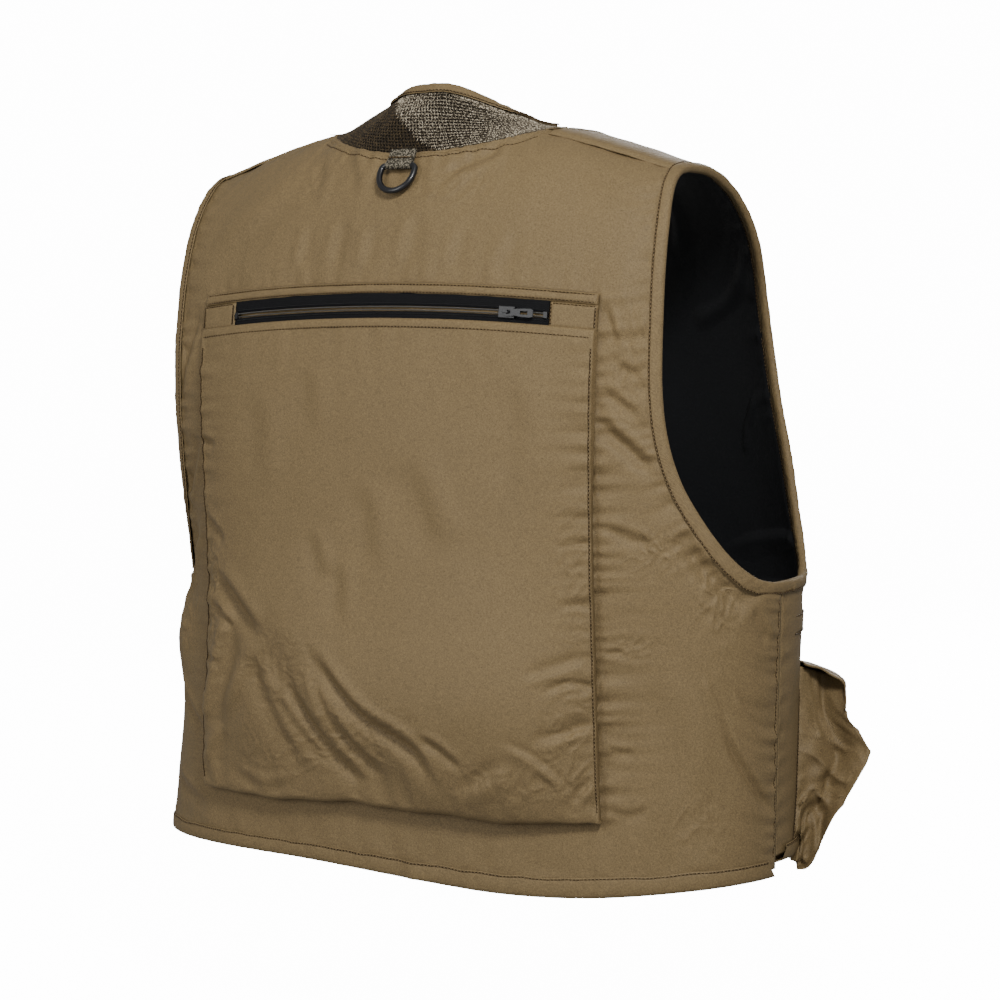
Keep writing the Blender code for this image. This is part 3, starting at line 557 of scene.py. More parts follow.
def rods(name, batches, mat, body="vest", replaced=()):
    """One mesh of many capsules; a batch is centres, tangents, normals, length, radius, sink."""
    verts, faces, base = [], [], 0
    for batch in batches:
        v, one = capsules(*batch)
        count, per = v.shape[:2]
        for f in one:
            faces += (np.array(f)[None] + base + per * np.arange(count)[:, None]).tolist()
        verts.append(v.reshape(-1, 3))
        base += count * per
    show(new_mesh(name, np.concatenate(verts), faces), name, mat, body, replaced)


STITCH, STITCH_LONG, STITCH_R = 0.0030, 0.0019, 0.00042   # spacing, length and radius of a stitch
SEAM_SHADE_R, SEAM_SHADE_SINK = 0.00072, 0.00030                  # a dark rod under the stitches: painted shade of the pressed seam line
seams, seam_shades = {}, {}


def stitch(path, normals, body="vest", lift=0.0001):
    """Adds a row of stitches along a dense line of points on a cloth surface, with a dark rod of painted seam
    shade sunk under it.
    """
    size = np.linalg.norm(np.diff(path, axis=0), axis=1)
    s = np.concatenate([[0], np.cumsum(size)])
    at = np.arange(STITCH, s[-1] - STITCH / 2, STITCH)
    if len(at) < 2:
        return

    def pick(values, where):
        return np.stack([np.interp(where, s, values[:, i]) for i in range(3)], 1)

    c = pick(path, at)
    t = unit(pick(path, at + 0.0012) - pick(path, at - 0.0012))
    n = unit(pick(normals, at))
    seams.setdefault(body, []).append((c + n * lift, t, n, STITCH_LONG, STITCH_R, 0.8))
    # a dark rod sunk under the stitches: painted shade along the seam
    seam_shades.setdefault(body, []).append((c + n * (lift - SEAM_SHADE_SINK), t, n, 1.1 * STITCH, SEAM_SHADE_R, 0.0))


def stitch_flat(path, lift, body="vest"):
    """A row of stitches on cloth that faces straight away from the body's upright axis."""
    stitch(path, unit(path * [1, 1, 0]), body, lift)


def stitch_on(surface, a, b):
    """A row of stitches along parameter lines a, b of a surface function."""
    e = 2e-4
    p = surface(a, b)
    n = np.cross(surface(a + e, b) - p, surface(a, b + e) - p)
    stitch(p, n * np.sign((n * p * [1, 1, 0]).sum(-1, keepdims=True)))


# ---------------------------------------------------------------- the outer back
def read_folds(text):
    """Folds from rows of text: points x and h in mm / width, valley and crest in tenths of a mm."""
    rows = []
    for row in text.strip().splitlines():
        at, shape = ([int(v) for v in part.split()] for part in row.split("/"))
        rows.append(([(x / 1000, h / 1000) for x, h in zip(at[::2], at[1::2])], *(v / 10000 for v in shape)))
    return rows


def spread(x, h, back):
    """Distance across the cloth from its middle; x itself bunches up towards the side seams."""
    t = 1 - np.clip(np.abs(x) / half_width(x, h), 0, 1) ** ROUND
    return x + np.sign(x) * 0.85 * depth_at(h, back) * (1 - t ** (1 / ROUND))


def laid(table, back):
    """A table of folds or crumples with its x values turned into distances across the cloth."""
    def place(x, h):
        return float(spread(np.array(x), np.array(h), back)), h

    if isinstance(table[0][0], list):
        return [([place(x, h) for x, h in line], *rest) for line, *rest in table]
    return [(*place(x, h), *rest) for x, h, *rest in table]


BACK_FOLDS = read_folds("""
-130 545 -170 525 -210 500 / 50 12 10
-185 432 -192 415 -196 400 / 45 26 12
-190 392 -205 382 -218 374 / 45 20 10
-183 373 -200 358 -216 346 / 50 26 12
-180 352 -197 333 -228 303 / 65 50 22
-187 262 -200 259 -224 252 / 50 26 14
-238 262 -256 236 -279 200 / 90 60 26
-258 247 -270 228 -281 207 / 45 26 14
-280 200 -284 172 / 50 24 12
-252 152 -258 132 -264 112 / 32 -12 -8
-262 118 -270 85 -279 38 / 42 34 18
-268 140 -274 118 -279 100 / 30 -12 -8
-215 150 -235 105 -240 50 / 180 16 12
-184 168 -196 170 -204 166 / 30 20 8
-184 55 -200 52 -216 56 / 35 18 8
-184 98 -196 95 -207 94 / 30 14 6
85 458 82 478 80 496 / 70 12 12
52 458 50 480 46 500 / 80 15 12
20 458 18 476 18 496 / 70 12 12
-18 458 -20 480 -22 505 / 90 15 13
-58 456 -62 476 -66 492 / 70 12 10
-95 452 -105 474 -110 490 / 80 12 10
-85 552 -65 540 -40 528 / 60 22 14
-60 541 -48 531 -36 520 / 50 16 12
60 552 45 535 38 515 / 70 14 12
85 548 80 528 82 505 / 90 14 12
100 535 130 505 190 470 / 140 -26 -12
188 430 205 395 222 350 / 80 30 20
188 330 205 300 228 270 / 80 30 20
200 262 228 220 246 170 / 100 40 24
245 130 222 105 195 88 / 60 26 20
252 50 228 40 190 30 / 60 18 14
""")
BACK_CRUMPLES = [  # x, h, half width, half height, height, wrinkles per metre
    (-0.205, 0.172, 0.024, 0.010, 0.0016, 90),
    (-0.203, 0.385, 0.014, 0.040, 0.0014, 75),
    (-0.225, 0.245, 0.030, 0.016, 0.0014, 80),
    (-0.262, 0.205, 0.020, 0.028, 0.0018, 70),
    (-0.245, 0.045, 0.030, 0.020, 0.0010, 80),
    (-0.050, 0.520, 0.040, 0.018, 0.0012, 60),
    (0.225, 0.200, 0.020, 0.050, 0.0018, 60),
    (0.085, 0.530, 0.030, 0.020, 0.0010, 60),
]
POCKET_SIDE = [[(s * POCKET_X, 0.044), (s * POCKET_X, 0.44)] for s in (1, -1)]
HEM_LINE = [(-0.27, 0.012), (-0.1, 0.012), (0.1, 0.012), (0.27, 0.012)]


def arm_line(side, back, inset):
    x, h = arm_edge(side, back, np.linspace(0, 1, 14), inset)
    return [(side * a, b) for a, b in zip(x, h)]


def drape(x, h, seed, height):
    """Slow waves and a little crumple that any hanging cloth has."""
    slow = noise(x * 9, h * 5, seed) + 0.5 * noise(x * 21, h * 13, seed + 5)
    rough = creases(x * 22, h * 15, seed + 9) * np.clip(0.2 + 0.9 * noise(x * 6, h * 6, seed + 3), 0, 1)
    return height * slow + 0.0006 * rough + 0.00012 * noise(x * 70, h * 60, seed + 7)


def pressed(x, h, back):
    """0 at the shoulder and side seams and under the armhole binding, 1 on the open cloth."""
    fade = smooth(depth(x, h, back) / 0.006)
    for s in (1, -1):
        d = along(x, h, arm_line(s, back, ARM_BAND))[0] * s
        fade = fade * np.where(s * x > 0.1, smooth((d + 0.006) / 0.009), 1)
    return fade


def seam_pucker(x, h, back, height, wave, reach, seed):
    """Gathers off the side and shoulder seams, which is where the body's depth runs out."""
    d = depth(x, h, back)
    ripple = noise((h + np.abs(x)) / wave + np.sign(x) * 31, 0.15 * d / wave, seed)
    return height * ripple * np.exp(-d / reach)


def back_out(x, h):
    """How far the outer cloth of the back stands out from the body's surface."""
    u = spread(x, h, True)
    o = drape(u, h, 11, 0.0016) + folds(u, h, laid(BACK_FOLDS, True))
    o += crumples(u, h, laid(BACK_CRUMPLES, True), 13)
    for i, line in enumerate(POCKET_SIDE):
        o += pucker(x, h, line, 0.0036, 0.0075, 0.014, 21 + i)
    for s in (1, -1):
        o += pucker(x, h, arm_line(s, True, ARM_BAND), 0.0030, 0.0080, 0.011, 31 + s)
    o += seam_pucker(x, h, True, 0.0040, 0.0085, 0.016, 41)
    neck = [(v, float(back_top(np.array(v)))) for v in np.linspace(-NECK_X + 0.001, NECK_X - 0.001, 7)]
    band = [(-POCKET_X, POCKET_TOP - 0.010), (0, POCKET_TOP + 0.001), (POCKET_X, POCKET_TOP - 0.010)]
    o += pucker(x, h, neck, 0.0030, 0.009, 0.014, 61)
    o += pucker(x, h, HEM_LINE, 0.0022, 0.016, 0.012, 71)
    o += pucker(x, h, band, 0.0018, 0.011, 0.012, 75)
    o += 0.0085 * np.exp(-((u - 0.295) / 0.035) ** 2 - ((h - 0.160) / 0.034) ** 2)
    covered = (np.abs(x) < POCKET_X - 0.004) & (h < POCKET_TOP) & (h > 0.05)
    return np.where(covered, np.minimum(o, 0.0002), o) * smooth(h / 0.02) * pressed(x, h, True)


def back_surface(x, h):
    return skin(x, h, True, back_out(x, h))


def hung_lining(x, h, outer, back, seed):
    """The lining hangs looser than the outer cloth and always inside it."""
    loose = (0.0016 + 1.2 * drape(x, h, seed, 0.0016)) * pressed(x, h, back) * smooth(h / 0.03)
    return np.minimum(outer, 0) - 0.0019 - np.maximum(loose, 0)


def outer_shell():
    def both(x, h, o, back, part, replaced, seed):
        lining = skin(x, h, back, hung_lining(x, h, o, back, seed))
        cloth("outer_" + part, skin(x, h, back, o), TAN, [replaced[0]], thick=0.0008)
        cloth("inner_" + part, lining, LINING_MAT, [replaced[1]], thick=0.0006)

    x, h = back_grid()
    both(x, h, back_out(x, h), True, "back", ("back_panel", "back_lining"), 81)
    for s, side in SIDES:
        x, h = front_grid(s)
        both(x, h, front_out(s, x, h), False, "front_" + side,
             ("front_panel_" + side, "front_lining_" + side), 91 + s)


FRONT_FOLDS = read_folds("""
205 470 170 430 120 410 / 100 34 18
250 250 200 240 140 225 / 90 36 20
255 205 190 200 120 180 / 80 28 18
20 270 50 240 90 235 / 80 24 16
30 170 60 120 80 50 / 100 26 18
125 540 130 500 120 460 / 90 22 14
205 360 185 330 175 290 / 80 26 16
""")


def front_out(s, x, h):
    u = spread(x, h, False)
    o = drape(u, h, 101 + s, 0.0018) + folds(s * u, h, laid(FRONT_FOLDS, False))
    o += pucker(x, h, arm_line(s, False, ARM_BAND), 0.0024, 0.011, 0.012, 111 + s)
    o += seam_pucker(x, h, False, 0.0030, 0.011, 0.013, 121 + s)
    edge = [(s * (v_edge(np.array(v)) + FACING), v) for v in np.linspace(0.01, 0.55, 9)]
    o += pucker(x, h, edge, 0.0018, 0.012, 0.010, 131 + s)
    o += pucker(x, h, [(s * 0.02, 0.012), (s * 0.26, 0.012)], 0.0016, 0.018, 0.012, 141 + s)
    start = v_edge(h) + FACING - LAP
    return o * smooth(h / 0.02) * pressed(x, h, False) * smooth((np.abs(x) - start) / 0.008)


def shoulder_strips():
    """The felled shoulder seams, and the short pieces that join the collar's ends to them."""
    drops = (0.0034, 0.0014, 0.0004, 0.00003)       # each row's height under the seam
    below = (0, 0, -0.3)
    for s, side in SIDES:
        x = s * np.linspace(NECK_X + 0.0008, TIP_X - 0.005, 120)
        wob = 0.0004 * noise(x * 60, 0.2, 251)
        rows = [skin(x, ridge(x) - d, back, 0.0013 + wob - 0.0012 * (d > 0.003), 0)
                for back, order in ((True, drops), (False, drops[::-1])) for d in order]
        cloth("shoulder_strip_" + side, np.stack(rows, 1), TAN, (), thick=0.0006,
              centre=below)
        t = s * np.linspace(math.radians(70), COLLAR_SPAN, 40)
        inner = collar_point(t, 0.10 + 0 * t)
        outer = np.stack([s * (NECK_X + 0.0035) + 0 * t, inner[:, 1] - 0.002,
                          ridge(NECK_X) - NECK_H + 0.0012 + 0 * t], 1)
        end = np.stack([inner + (outer - inner) * k for k in np.linspace(0, 1, 7)], 1)
        cloth("collar_end_" + side, end, BAND, (), thick=0.0006, centre=below)


def shell_seams():
    h = np.linspace(HEM_BAND, PIT_H - 0.012, 60)
    for s, _ in SIDES:
        stitch_on(back_surface, s * (half_width(s, h) - 0.00004), h)
        x = s * (NECK_X + 0.014 + (TIP_X - NECK_X - 0.028) * np.linspace(0, 1, 40))
        stitch_on(back_surface, x, ridge(x) - 0.0004)
    x = NECK_X * np.linspace(-0.97, 0.97, 80)
    stitch_on(back_surface, x, back_top(x) - 0.0036)


# ---------------------------------------------------------------- bindings and bands
# share of the band's width, distance out: over the outer face, round the edge, back under the lining
BINDING = [(1.0, 0.0007), (0.96, 0.0014), (0.75, 0.0019), (0.45, 0.0021), (0.2, 0.0019), (0.06, 0.0012),
           (0.0, 0.0), (0.0, -0.0022), (0.06, -0.0034), (0.2, -0.0041), (0.45, -0.0043), (0.75, -0.0040),
           (0.96, -0.0036), (1.0, -0.0030)]


def facing_out(out):
    """1 on the outer face of a band and at its edge, -1 on its inner face."""
    return 1 if out >= 0 else -1


def armhole_band(s, side):
    k = smooth(np.linspace(0, 1, 150)) * 0.35 + np.linspace(0, 1, 150) * 0.65
    n = len(k)
    run = np.arange(2 * n - 2) / (2 * n - 2)
    cols = []
    for share, out in BINDING:
        bx, bh = arm_edge(s, True, k, share * ARM_BAND)
        fx, fh = arm_edge(s, False, k, share * ARM_BAND)
        wob = 0.0007 * noise(run * 62, 0.4 * share, 201 + s) * (0.3 + share)
        ruck = np.abs(noise(run * 95 + 1.2 * share, share * 1.2, 211 + s))
        ruck += 0.5 * noise(run * 30, 0.3, 221 + s)
        swell = 0.35 + 0.65 * math.sin(math.pi * min(share + 0.1, 1))
        lift = out + facing_out(out) * 0.0009 * ruck * swell
        rise = skin(s * bx, bh, True, lift[:n], 0)
        fall = skin(s * fx[::-1], fh[::-1], False, np.concatenate([lift[n - 1:], lift[:1]]), 0)[1:-1]
        p = np.vstack([rise, fall])
        p[:, 2] += wob * 0.6
        cols.append(p)
    p = np.stack(cols, 1)
    cloth("arm_binding_" + side, p, BAND, ["armhole_binding_" + side], thick=0, wrap=True,
          centre=(s * 0.24, -0.01, 0))
    for col, sign in ((1, 1), (12, -1)):        # a stitch line on the outer and on the inner face
        a = p[:, col] * 0.75 + p[:, col + sign] * 0.25
        out = np.cross(np.roll(a, -1, 0) - a, p[:, col + sign] - p[:, col])
        out *= np.sign((out * a * [1, 1, 0]).sum(1, keepdims=True)) * sign
        stitch(np.vstack([a, a[:1]]), np.vstack([out, out[:1]]), lift=0.0003)


def sewn_band(name, replaced, cols, axis):
    """A folded band from its BINDING rows, with the stitch line on its outer face."""
    p = np.stack(cols, axis)
    cloth(name, p, BAND, [replaced], thick=0)
    first, second = np.moveaxis(p, axis, 0)[1:3]
    stitch_flat(first * 0.8 + second * 0.2, 0.0004)


def hem_band(name, xs, back, seed):
    cols = []
    slow = noise(xs * 14, 0.2, seed + 2)
    for share, out in BINDING:
        h = HEM_BAND * share + 0.0008 * share * noise(xs * 55, 0.3, seed)
        bump = 0.0014 * np.abs(noise(xs * 75 + 1.5 * share, share * 1.2, seed + 1)) + 0.0011 * slow
        o = out + facing_out(out) * bump * 0.6 + 0.0006 * slow
        if back:                                # the join of the band's two ends
            o = o + 0.0035 * np.exp(-((xs + 0.022) / 0.007) ** 2) * (1 if out > 0 else 0.2)
        cols.append(skin(xs, h, back, o))
    sewn_band("hem_" + name, "hem_band_" + name, cols, 0)


def hem_bands():
    full = np.sin(np.linspace(-1, 1, 320) * math.pi / 2)
    hem_band("back", full * half_width(full, 0.0), True, 301)
    for s, side in SIDES:
        x = EDGE_X + (half_width(s, 0.0) - EDGE_X) * np.sin(np.linspace(0, 1, 170) * math.pi / 2)
        hem_band(side, s * x, False, 311 + s)


def front_edges():
    low = np.linspace(HEM_BAND, V_H, 90)[:-1]
    high = V_H + (NECK_H - V_H) * (1 - (1 - np.linspace(0, 1, 90)) ** 1.4)
    f = np.concatenate([0 * low, (high - V_H) / (NECK_H - V_H)])
    h = np.concatenate([low, high])
    for s, side in SIDES:
        cols = []
        for share, out in BINDING:
            inset = share * FACING
            end = ridge(NECK_X + inset) - NECK_H
            o = out + facing_out(out) * 0.0005 * np.abs(noise(h * 70, share * 1.4, 321 + s))
            cols.append(skin(s * (v_edge(h) + inset), h + end * f ** 2, False, np.minimum(o, 0.0016)))
        sewn_band("front_edge_" + side, "front_facing_" + side, cols, 1)


# ---------------------------------------------------------------- collar
NET_PITCH, NET_ROWS, NET_THREAD = 0.0033, 19, 0.00105


def collar_point(th, v, inner=0.0):
    """A point of the collar: th round the neck, v from the base (0) to the top (1)."""
    round_neck = np.clip(th, -math.pi / 2, math.pi / 2)
    base = collar_base(round_neck, 0.0036 + inner)
    base[..., 1] -= 0.06 * np.maximum(np.abs(th) - math.pi / 2, 0)
    bow = 0.004 * np.sin(np.clip(v, 0, 1) * math.pi)
    bow += 0.0022 * noise(th * 5, v * 1.5, 401) * np.clip(v + 0.2, 0, 1)
    return base + collar_rise(round_neck) * v[..., None] + unit(base) * bow[..., None]


def in_shade(th, v):
    """The part of the net that folds over towards the wearer's left, which gets the darker copy of the net:
    painted shade.
    """
    return th > math.radians(-12 + 50 * v)


def collar_net():
    """Hexagonal net with real openings over a dark inner layer."""
    cols = int(0.33 / NET_PITCH)
    J, I = np.meshgrid(np.arange(NET_ROWS + 1), np.arange(2 * cols + 1), indexing="ij")
    th = -COLLAR_SPAN + 2 * COLLAR_SPAN * I / (2 * cols)
    v = -0.06 + 1.06 * (J + 0.33 * ((I + J) % 2)) / NET_ROWS
    th = th + 0.003 * noise(I * 0.7, J * 0.7, 431)
    faces, shade = [], []
    wide = 2 * cols + 1
    for b in range(NET_ROWS):
        for a in range(b % 2, wide - 2, 2):
            ring = [(a, b), (a + 1, b), (a + 2, b), (a + 2, b + 1), (a + 1, b + 1), (a, b + 1)]
            faces.append([y * wide + x for x, y in ring])
            shade.append(int(in_shade(th[b, a], v[b, a])))
    mesh = bpy.data.meshes.new("collar_net")
    mesh.from_pydata(collar_point(th.ravel(), v.ravel()).tolist(), [], faces)
    mesh.update()
    ob = show(mesh, "collar_net", NET, "vest", ["collar_mesh"])
    # slot 1 is the net's painted-shade copy, for the faces that in_shade picks
    mesh.materials.append(NET_SHADE)
    mesh.polygons.foreach_set("material_index", shade)
    mod = ob.modifiers.new("threads", "WIREFRAME")
    mod.thickness, mod.use_even_offset = NET_THREAD, False
    th, v = np.meshgrid(np.linspace(-COLLAR_SPAN, COLLAR_SPAN, 120), np.linspace(-0.06, 1.0, 16),
                        indexing="ij")
    grid = collar_point(th.ravel(), v.ravel(), 0.0012).reshape(*th.shape, 3)
    cloth("net_backing", grid, NET_BACK, (), thick=0.0004, centre=(0, 0, 0))
    for k, row in enumerate((0.93, 0.86, 0.79)):
        t = np.linspace(math.radians(-88), math.radians(-14 - 12 * k), 90)
        radius = 0.0009 * np.minimum(1, (t[-1] - t) * 6 + 0.3)
        roll("net_row_%d" % k, collar_point(t, row + 0 * t), radius, NET, 441 + k)


def roll(name, line, radius, mat, seed):
    """A thin round roll of cloth along a line of points."""
    run = unit(np.gradient(line, axis=0))
    out = line * [1, 1, 0]
    out = unit(out - run * (out * run).sum(1, keepdims=True))
    up = np.cross(run, out)
    r = (radius + 0.0003 * noise(np.linspace(0, 60, len(line)), 0.1, seed))[:, None]
    p = np.stack([line + (np.cos(a) * out + np.sin(a) * up) * r for a in np.linspace(0, 2 * math.pi, 9)], 1)
    cloth(name, p, mat, (), thick=0, centre=(0, 0, 0))


def collar_top():
    """The bound top edge, a tape folded over the net, and the seam at the collar's foot."""
    th = np.linspace(-1, 1, 240) * (COLLAR_SPAN - 0.08)
    one = np.ones_like(th)
    top = collar_point(th, one)
    down = unit(collar_point(th, one * 0.9) - top)
    out = unit(np.cross(np.gradient(top, axis=0), down))
    out *= np.sign((out * collar_base(th)).sum(1, keepdims=True))
    s = np.linspace(0, 1, len(th))
    cols = []
    wide = 0.0100 * (1 - 0.72 * smooth((-th - math.radians(48)) / math.radians(14)))
    above = 0.0062 * (wide / 0.0100) + 0.0006 * noise(s * 22, 0.5, 413)
    for share, o in BINDING:
        o = o + 0.0011
        lift = o + np.sign(o) * 0.0007 * np.abs(noise(s * 40 + share, share, 411))
        cols.append(top + down * (share * wide - above)[:, None] + out * lift[:, None])
    p = np.stack(cols, 1)
    cloth("collar_tape", p, BAND, ["collar_binding"], thick=0, centre=(0, 0, 0))
    stitch(p[:, 1] * 0.7 + p[:, 2] * 0.3, out, lift=0.0003)
    th = np.linspace(-math.pi / 2, math.pi / 2, 200)
    x = NECK_X * np.sin(th)
    edge = back_surface(x, back_top(x) - 0.001)
    foot = collar_point(th, -0.035 + 0 * th)
    rows = []
    for k in np.linspace(-0.10, 1, 9):
        q = edge + (foot - edge) * k
        q[:, 2] += 0.0010 * math.sin(math.pi * max(k, 0)) + 0.0006 * noise(s[:200] * 90, k, 415)
        rows.append(q)
    cloth("neck_facing", np.stack(rows, 1), BAND, (), thick=0.0006, centre=(0, 0, 0))


# ---------------------------------------------------------------- D-rings
# name, x, h, on the back, half width of the D, wire radius, half width of the webbing, its tail
RINGS = (("d_ring", 0.0, 0.5355, True, 0.0155, 0.0018, 0.0116, 0.0145),
         ("front_d_ring", 0.118, 0.452, False, 0.0115, 0.0014, 0.0075, 0.020))


def d_outline(w, drop, corner):
    """A D as seen from the front: a straight bar at the top and a round bow below."""
    def bow(cx, cz, r, a, b, n):
        return [(cx + r * math.cos(t), cz + r * math.sin(t)) for t in np.linspace(a, b, n)]

    pts = [(k, 0.0) for k in np.linspace(-w + corner, w - corner, 12)]
    pts += bow(w - corner, -corner, corner, math.pi / 2, 0, 8)[1:]
    pts += bow(0, -drop + w, w, 0, -math.pi, 40)
    return np.array(pts + bow(-w + corner, -corner, corner, math.pi, math.pi / 2, 8)[:-1])


def ring_tabs():
    e = 0.004
    for name, x, h, back, w, wire, half, tail in RINGS:
        p = skin(x, h, back, 0.0052)
        up = unit(skin(x, h + e, back) - skin(x, h - e, back))
        acr = unit(skin(x + e, h, back) - skin(x - e, h, back))
        out = np.cross(acr, up) * (-1 if back else 1)
        flat = d_outline(w, 0.0225 * w / 0.0155, 0.004)
        line = p + flat[:, :1] * acr + flat[:, 1:] * up
        side = np.cross(unit(np.roll(line, -1, 0) - np.roll(line, 1, 0)), out)
        tube = [line + wire * 1.35 * (math.cos(a) * out + math.sin(a) * side)
                for a in np.linspace(0, 2 * math.pi, 19)]
        cloth(name + "_wire", np.stack(tube, 1), RING, [name], body=name, thick=0, wrap=True,
              centre=p - out * 0.05)
        r = wire + 0.0011
        bend = [(r * math.cos(a), -r * math.sin(a)) for a in np.linspace(-0.5, math.pi + 0.5, 18)]
        line = [(0.0009, tail), (0.0010, tail * 0.7), (0.0011, tail * 0.4)]
        line += bend + [(-a, b) for a, b in line[::-1]]
        grid = np.array([[p + out * a + up * b + acr * c for c in np.linspace(-half, half, 21)]
                         for a, b in line])
        cloth(name + "_strap", grid, WEBBING, [name + "_tab"], thick=0.0009, centre=p)
        row = grid[2] + (grid[1] - grid[2]) * 0.2
        stitch(row + out * 0.0005, np.tile(out, (len(row), 1)), lift=0.0002)


# ---------------------------------------------------------------- zips
TOOTH = 0.0018                      # pitch of a zip's teeth
TAPE_SLIT, TAPE_LAP = 0.0022, 0.0016   # tape edge from the chain's middle; tape under the cloth


def hard(*names):
    """Rigid CAD pieces kept as they are, with a metal finish and slightly rounded edges."""
    for name in names:
        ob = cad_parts[name]
        for slot in ob.material_slots:
            slot.material = METAL
        mod = ob.modifiers.new("edges", "BEVEL")
        mod.width, mod.segments = 0.00025, 2
        mod.limit_method, mod.angle_limit = "ANGLE", math.radians(35)


def back_zip():
    x = np.linspace(-ZIP_X, ZIP_X, 220)[None]
    edge = TAPE + TAPE_LAP
    for name, a, b in (("upper", TAPE_SLIT, edge), ("lower", -edge, -TAPE_SLIT)):
        w = np.linspace(a, b, 9)[:, None]
        o = -0.0002 + 0.0002 * noise(x * 60, w * 90, 501)
        cloth("tape_" + name, arc_skin(x, w, o), TAPE_MAT, ["zip_tape_" + name], thick=0.0005)
    for name, s, front, r in (("upper", 1, 0.0002, 0.00058), ("lower", -1, -0.0003, 0.00048)):
        xs = np.arange(-ZIP_X + 0.004, ZIP_X - 0.004, TOOTH) + (TOOTH / 2 if s > 0 else 0)
        t = unit(arc_skin(xs, 0.001, 0.0) - arc_skin(xs, -0.001, 0.0))
        n = unit(arc_skin(xs, 0.0, 0.001) - arc_skin(xs, 0.0, 0.0))
        c = arc_skin(xs, s * 0.0012, 0.0004) + n * front
        # teeth in the greyer material: painted glint
        rods("teeth_" + name, [(c, np.cross(t, n), n, 0.0030, r, 0.5)], TEETH_GLINT, replaced=["zip_coil_" + name])
        xs = np.arange(-ZIP_X + 0.002, ZIP_X - 0.002, 0.0021)
        t, n = (np.tile(v, (len(xs), 1)) for v in ([1.0, 0, 0], [0, 1.0, 0.2]))
        rods("sewing_" + name, [(arc_skin(xs, s * 0.0040, 0.0003), t, n, 0.0016, 0.00022, 0.6)],
             BLACK_THREAD)
    hard("zip_stop_left", "zip_stop_right", "zip_slider", "zip_pull")


def front_zip():
    h = np.linspace(0.0125, V_H - 0.001, 160)[:, None]
    mid = -0.0011
    out = np.array([0, -1, -FRONT_LEAN]) / math.hypot(1, FRONT_LEAN)

    def face(x, hh, o):
        """Points beside the straight zip line, o out from the body's front."""
        x, hh, o = np.broadcast_arrays(x, hh, o)
        return np.stack([x, -(FRONT_DEPTH + FRONT_LEAN * hh), hh - NECK_H], -1) + o[..., None] * out

    for s, side in SIDES:
        xs = s * np.linspace(TAPE_SLIT, 0.0115, 7)[None]
        cloth("front_tape_" + side, face(xs, h, mid + 0.0002 * noise(xs * 90, h * 60, 511)), TAPE_MAT,
              ["front_zip_tape_" + side], thick=0.0005)
        hs = np.arange(0.0260, V_H - 0.005, TOOTH) + (TOOTH / 2 if s > 0 else 0)
        t, n = (np.tile(v, (len(hs), 1)) for v in ([1.0, 0, 0], out))
        rods("front_teeth_" + side, [(face(s * 0.0012, hs, mid + 0.0004), t, n, 0.0034, 0.00062, 0.5)],
             COIL_MAT, replaced=["front_zip_coil_" + side])
    hard("front_zip_stop_left", "front_zip_stop_right", "front_zip_box", "front_zip_slider", "front_zip_pull")


# ---------------------------------------------------------------- the back pocket
BAG_FOLDS = read_folds("""
174 75 152 140 130 205 / 110 34 40
120 172 96 130 78 96 60 66 / 100 36 26
88 140 66 106 40 74 / 60 30 20
30 120 14 96 -12 70 / 60 32 18
56 176 19 137 -3 118 -30 104 -48 89 -60 56 / 70 72 26
72 150 58 122 35 88 2 58 / 75 50 24
48 150 42 126 34 108 / 45 -18 -16
-46 106 -64 98 -84 82 / 45 30 14
-72 58 -98 72 -122 88 / 70 -24 -24
-112 104 -140 88 -165 60 / 40 -16 -12
-138 84 -157 66 / 45 14 10
162 222 130 200 98 172 / 90 62 26
170 194 152 190 134 176 / 45 30 16
98 176 122 138 150 100 / 90 -34 -22
150 100 165 78 172 62 / 70 -26 -16
-30 320 -50 275 -66 240 / 160 22 20
10 300 0 262 -4 225 / 120 14 12
30 240 24 212 26 185 / 90 16 12
56 262 48 240 38 215 / 90 14 12
120 370 110 330 115 290 / 140 13 12
70 390 60 360 62 330 / 120 10 10
-120 390 -125 330 -115 280 / 140 13 12
-182 249 -170 250 -155 247 / 30 13 8
-182 199 -172 204 -158 203 / 30 15 8
-178 168 -160 160 -130 150 / 50 18 12
-182 140 -165 146 -148 140 / 35 22 12
-182 118 -160 108 -135 102 / 50 24 14
-178 78 -172 70 -163 58 / 40 30 14
182 330 160 322 / 50 18 10
182 262 165 258 148 244 / 50 24 12
182 150 165 152 150 146 / 40 16 8
150 66 110 56 70 62 / 60 18 12
""")
BAG_CRUMPLES = [  # x, h, half width, half height, height, wrinkles per metre
    (0.008, 0.104, 0.046, 0.024, 0.0018, 100),
    (0.082, 0.150, 0.040, 0.034, 0.0013, 95),
    (0.070, 0.085, 0.060, 0.024, 0.0011, 85),
    (-0.110, 0.072, 0.060, 0.018, 0.0012, 85),
    (-0.165, 0.105, 0.020, 0.050, 0.0015, 85),
    (0.165, 0.200, 0.022, 0.060, 0.0014, 85),
    (-0.168, 0.230, 0.014, 0.060, 0.0010, 85),
]
SLUMP = [(0.075, 0.205), (0.050, 0.168), (0.010, 0.128), (-0.030, 0.100), (-0.056, 0.045)]
BAG_ROWS = [(0.421, 0.0030), (0.4185, 0.0050), (0.390, 0.0058), (0.345, 0.0080), (0.300, 0.0115),
            (0.250, 0.0160), (0.200, 0.0245), (0.165, 0.0315), (0.140, 0.0350), (0.120, 0.0352),
            (0.100, 0.0325), (0.080, 0.0278), (0.0630, 0.0220), (0.0500, 0.0150), (0.0462, 0.0080),
            (0.0474, 0.0012)]       # height and depth, from the top seam round the puffed bottom


def run_along(points):
    """Distance along a line of 2-D points, from its first point."""
    d = np.diff(points, axis=0)
    return np.concatenate([[0], np.cumsum(np.hypot(d[:, 0], d[:, 1]))])


def profile(rows, q):
    """Heights and depths along a pocket's profile, q from its first row (0) to its last (1)."""
    rows = np.array(rows, float)
    run = run_along(rows)
    return spline(rows, np.interp(q, run / run[-1], np.linspace(0, 1, len(rows))))[0].T


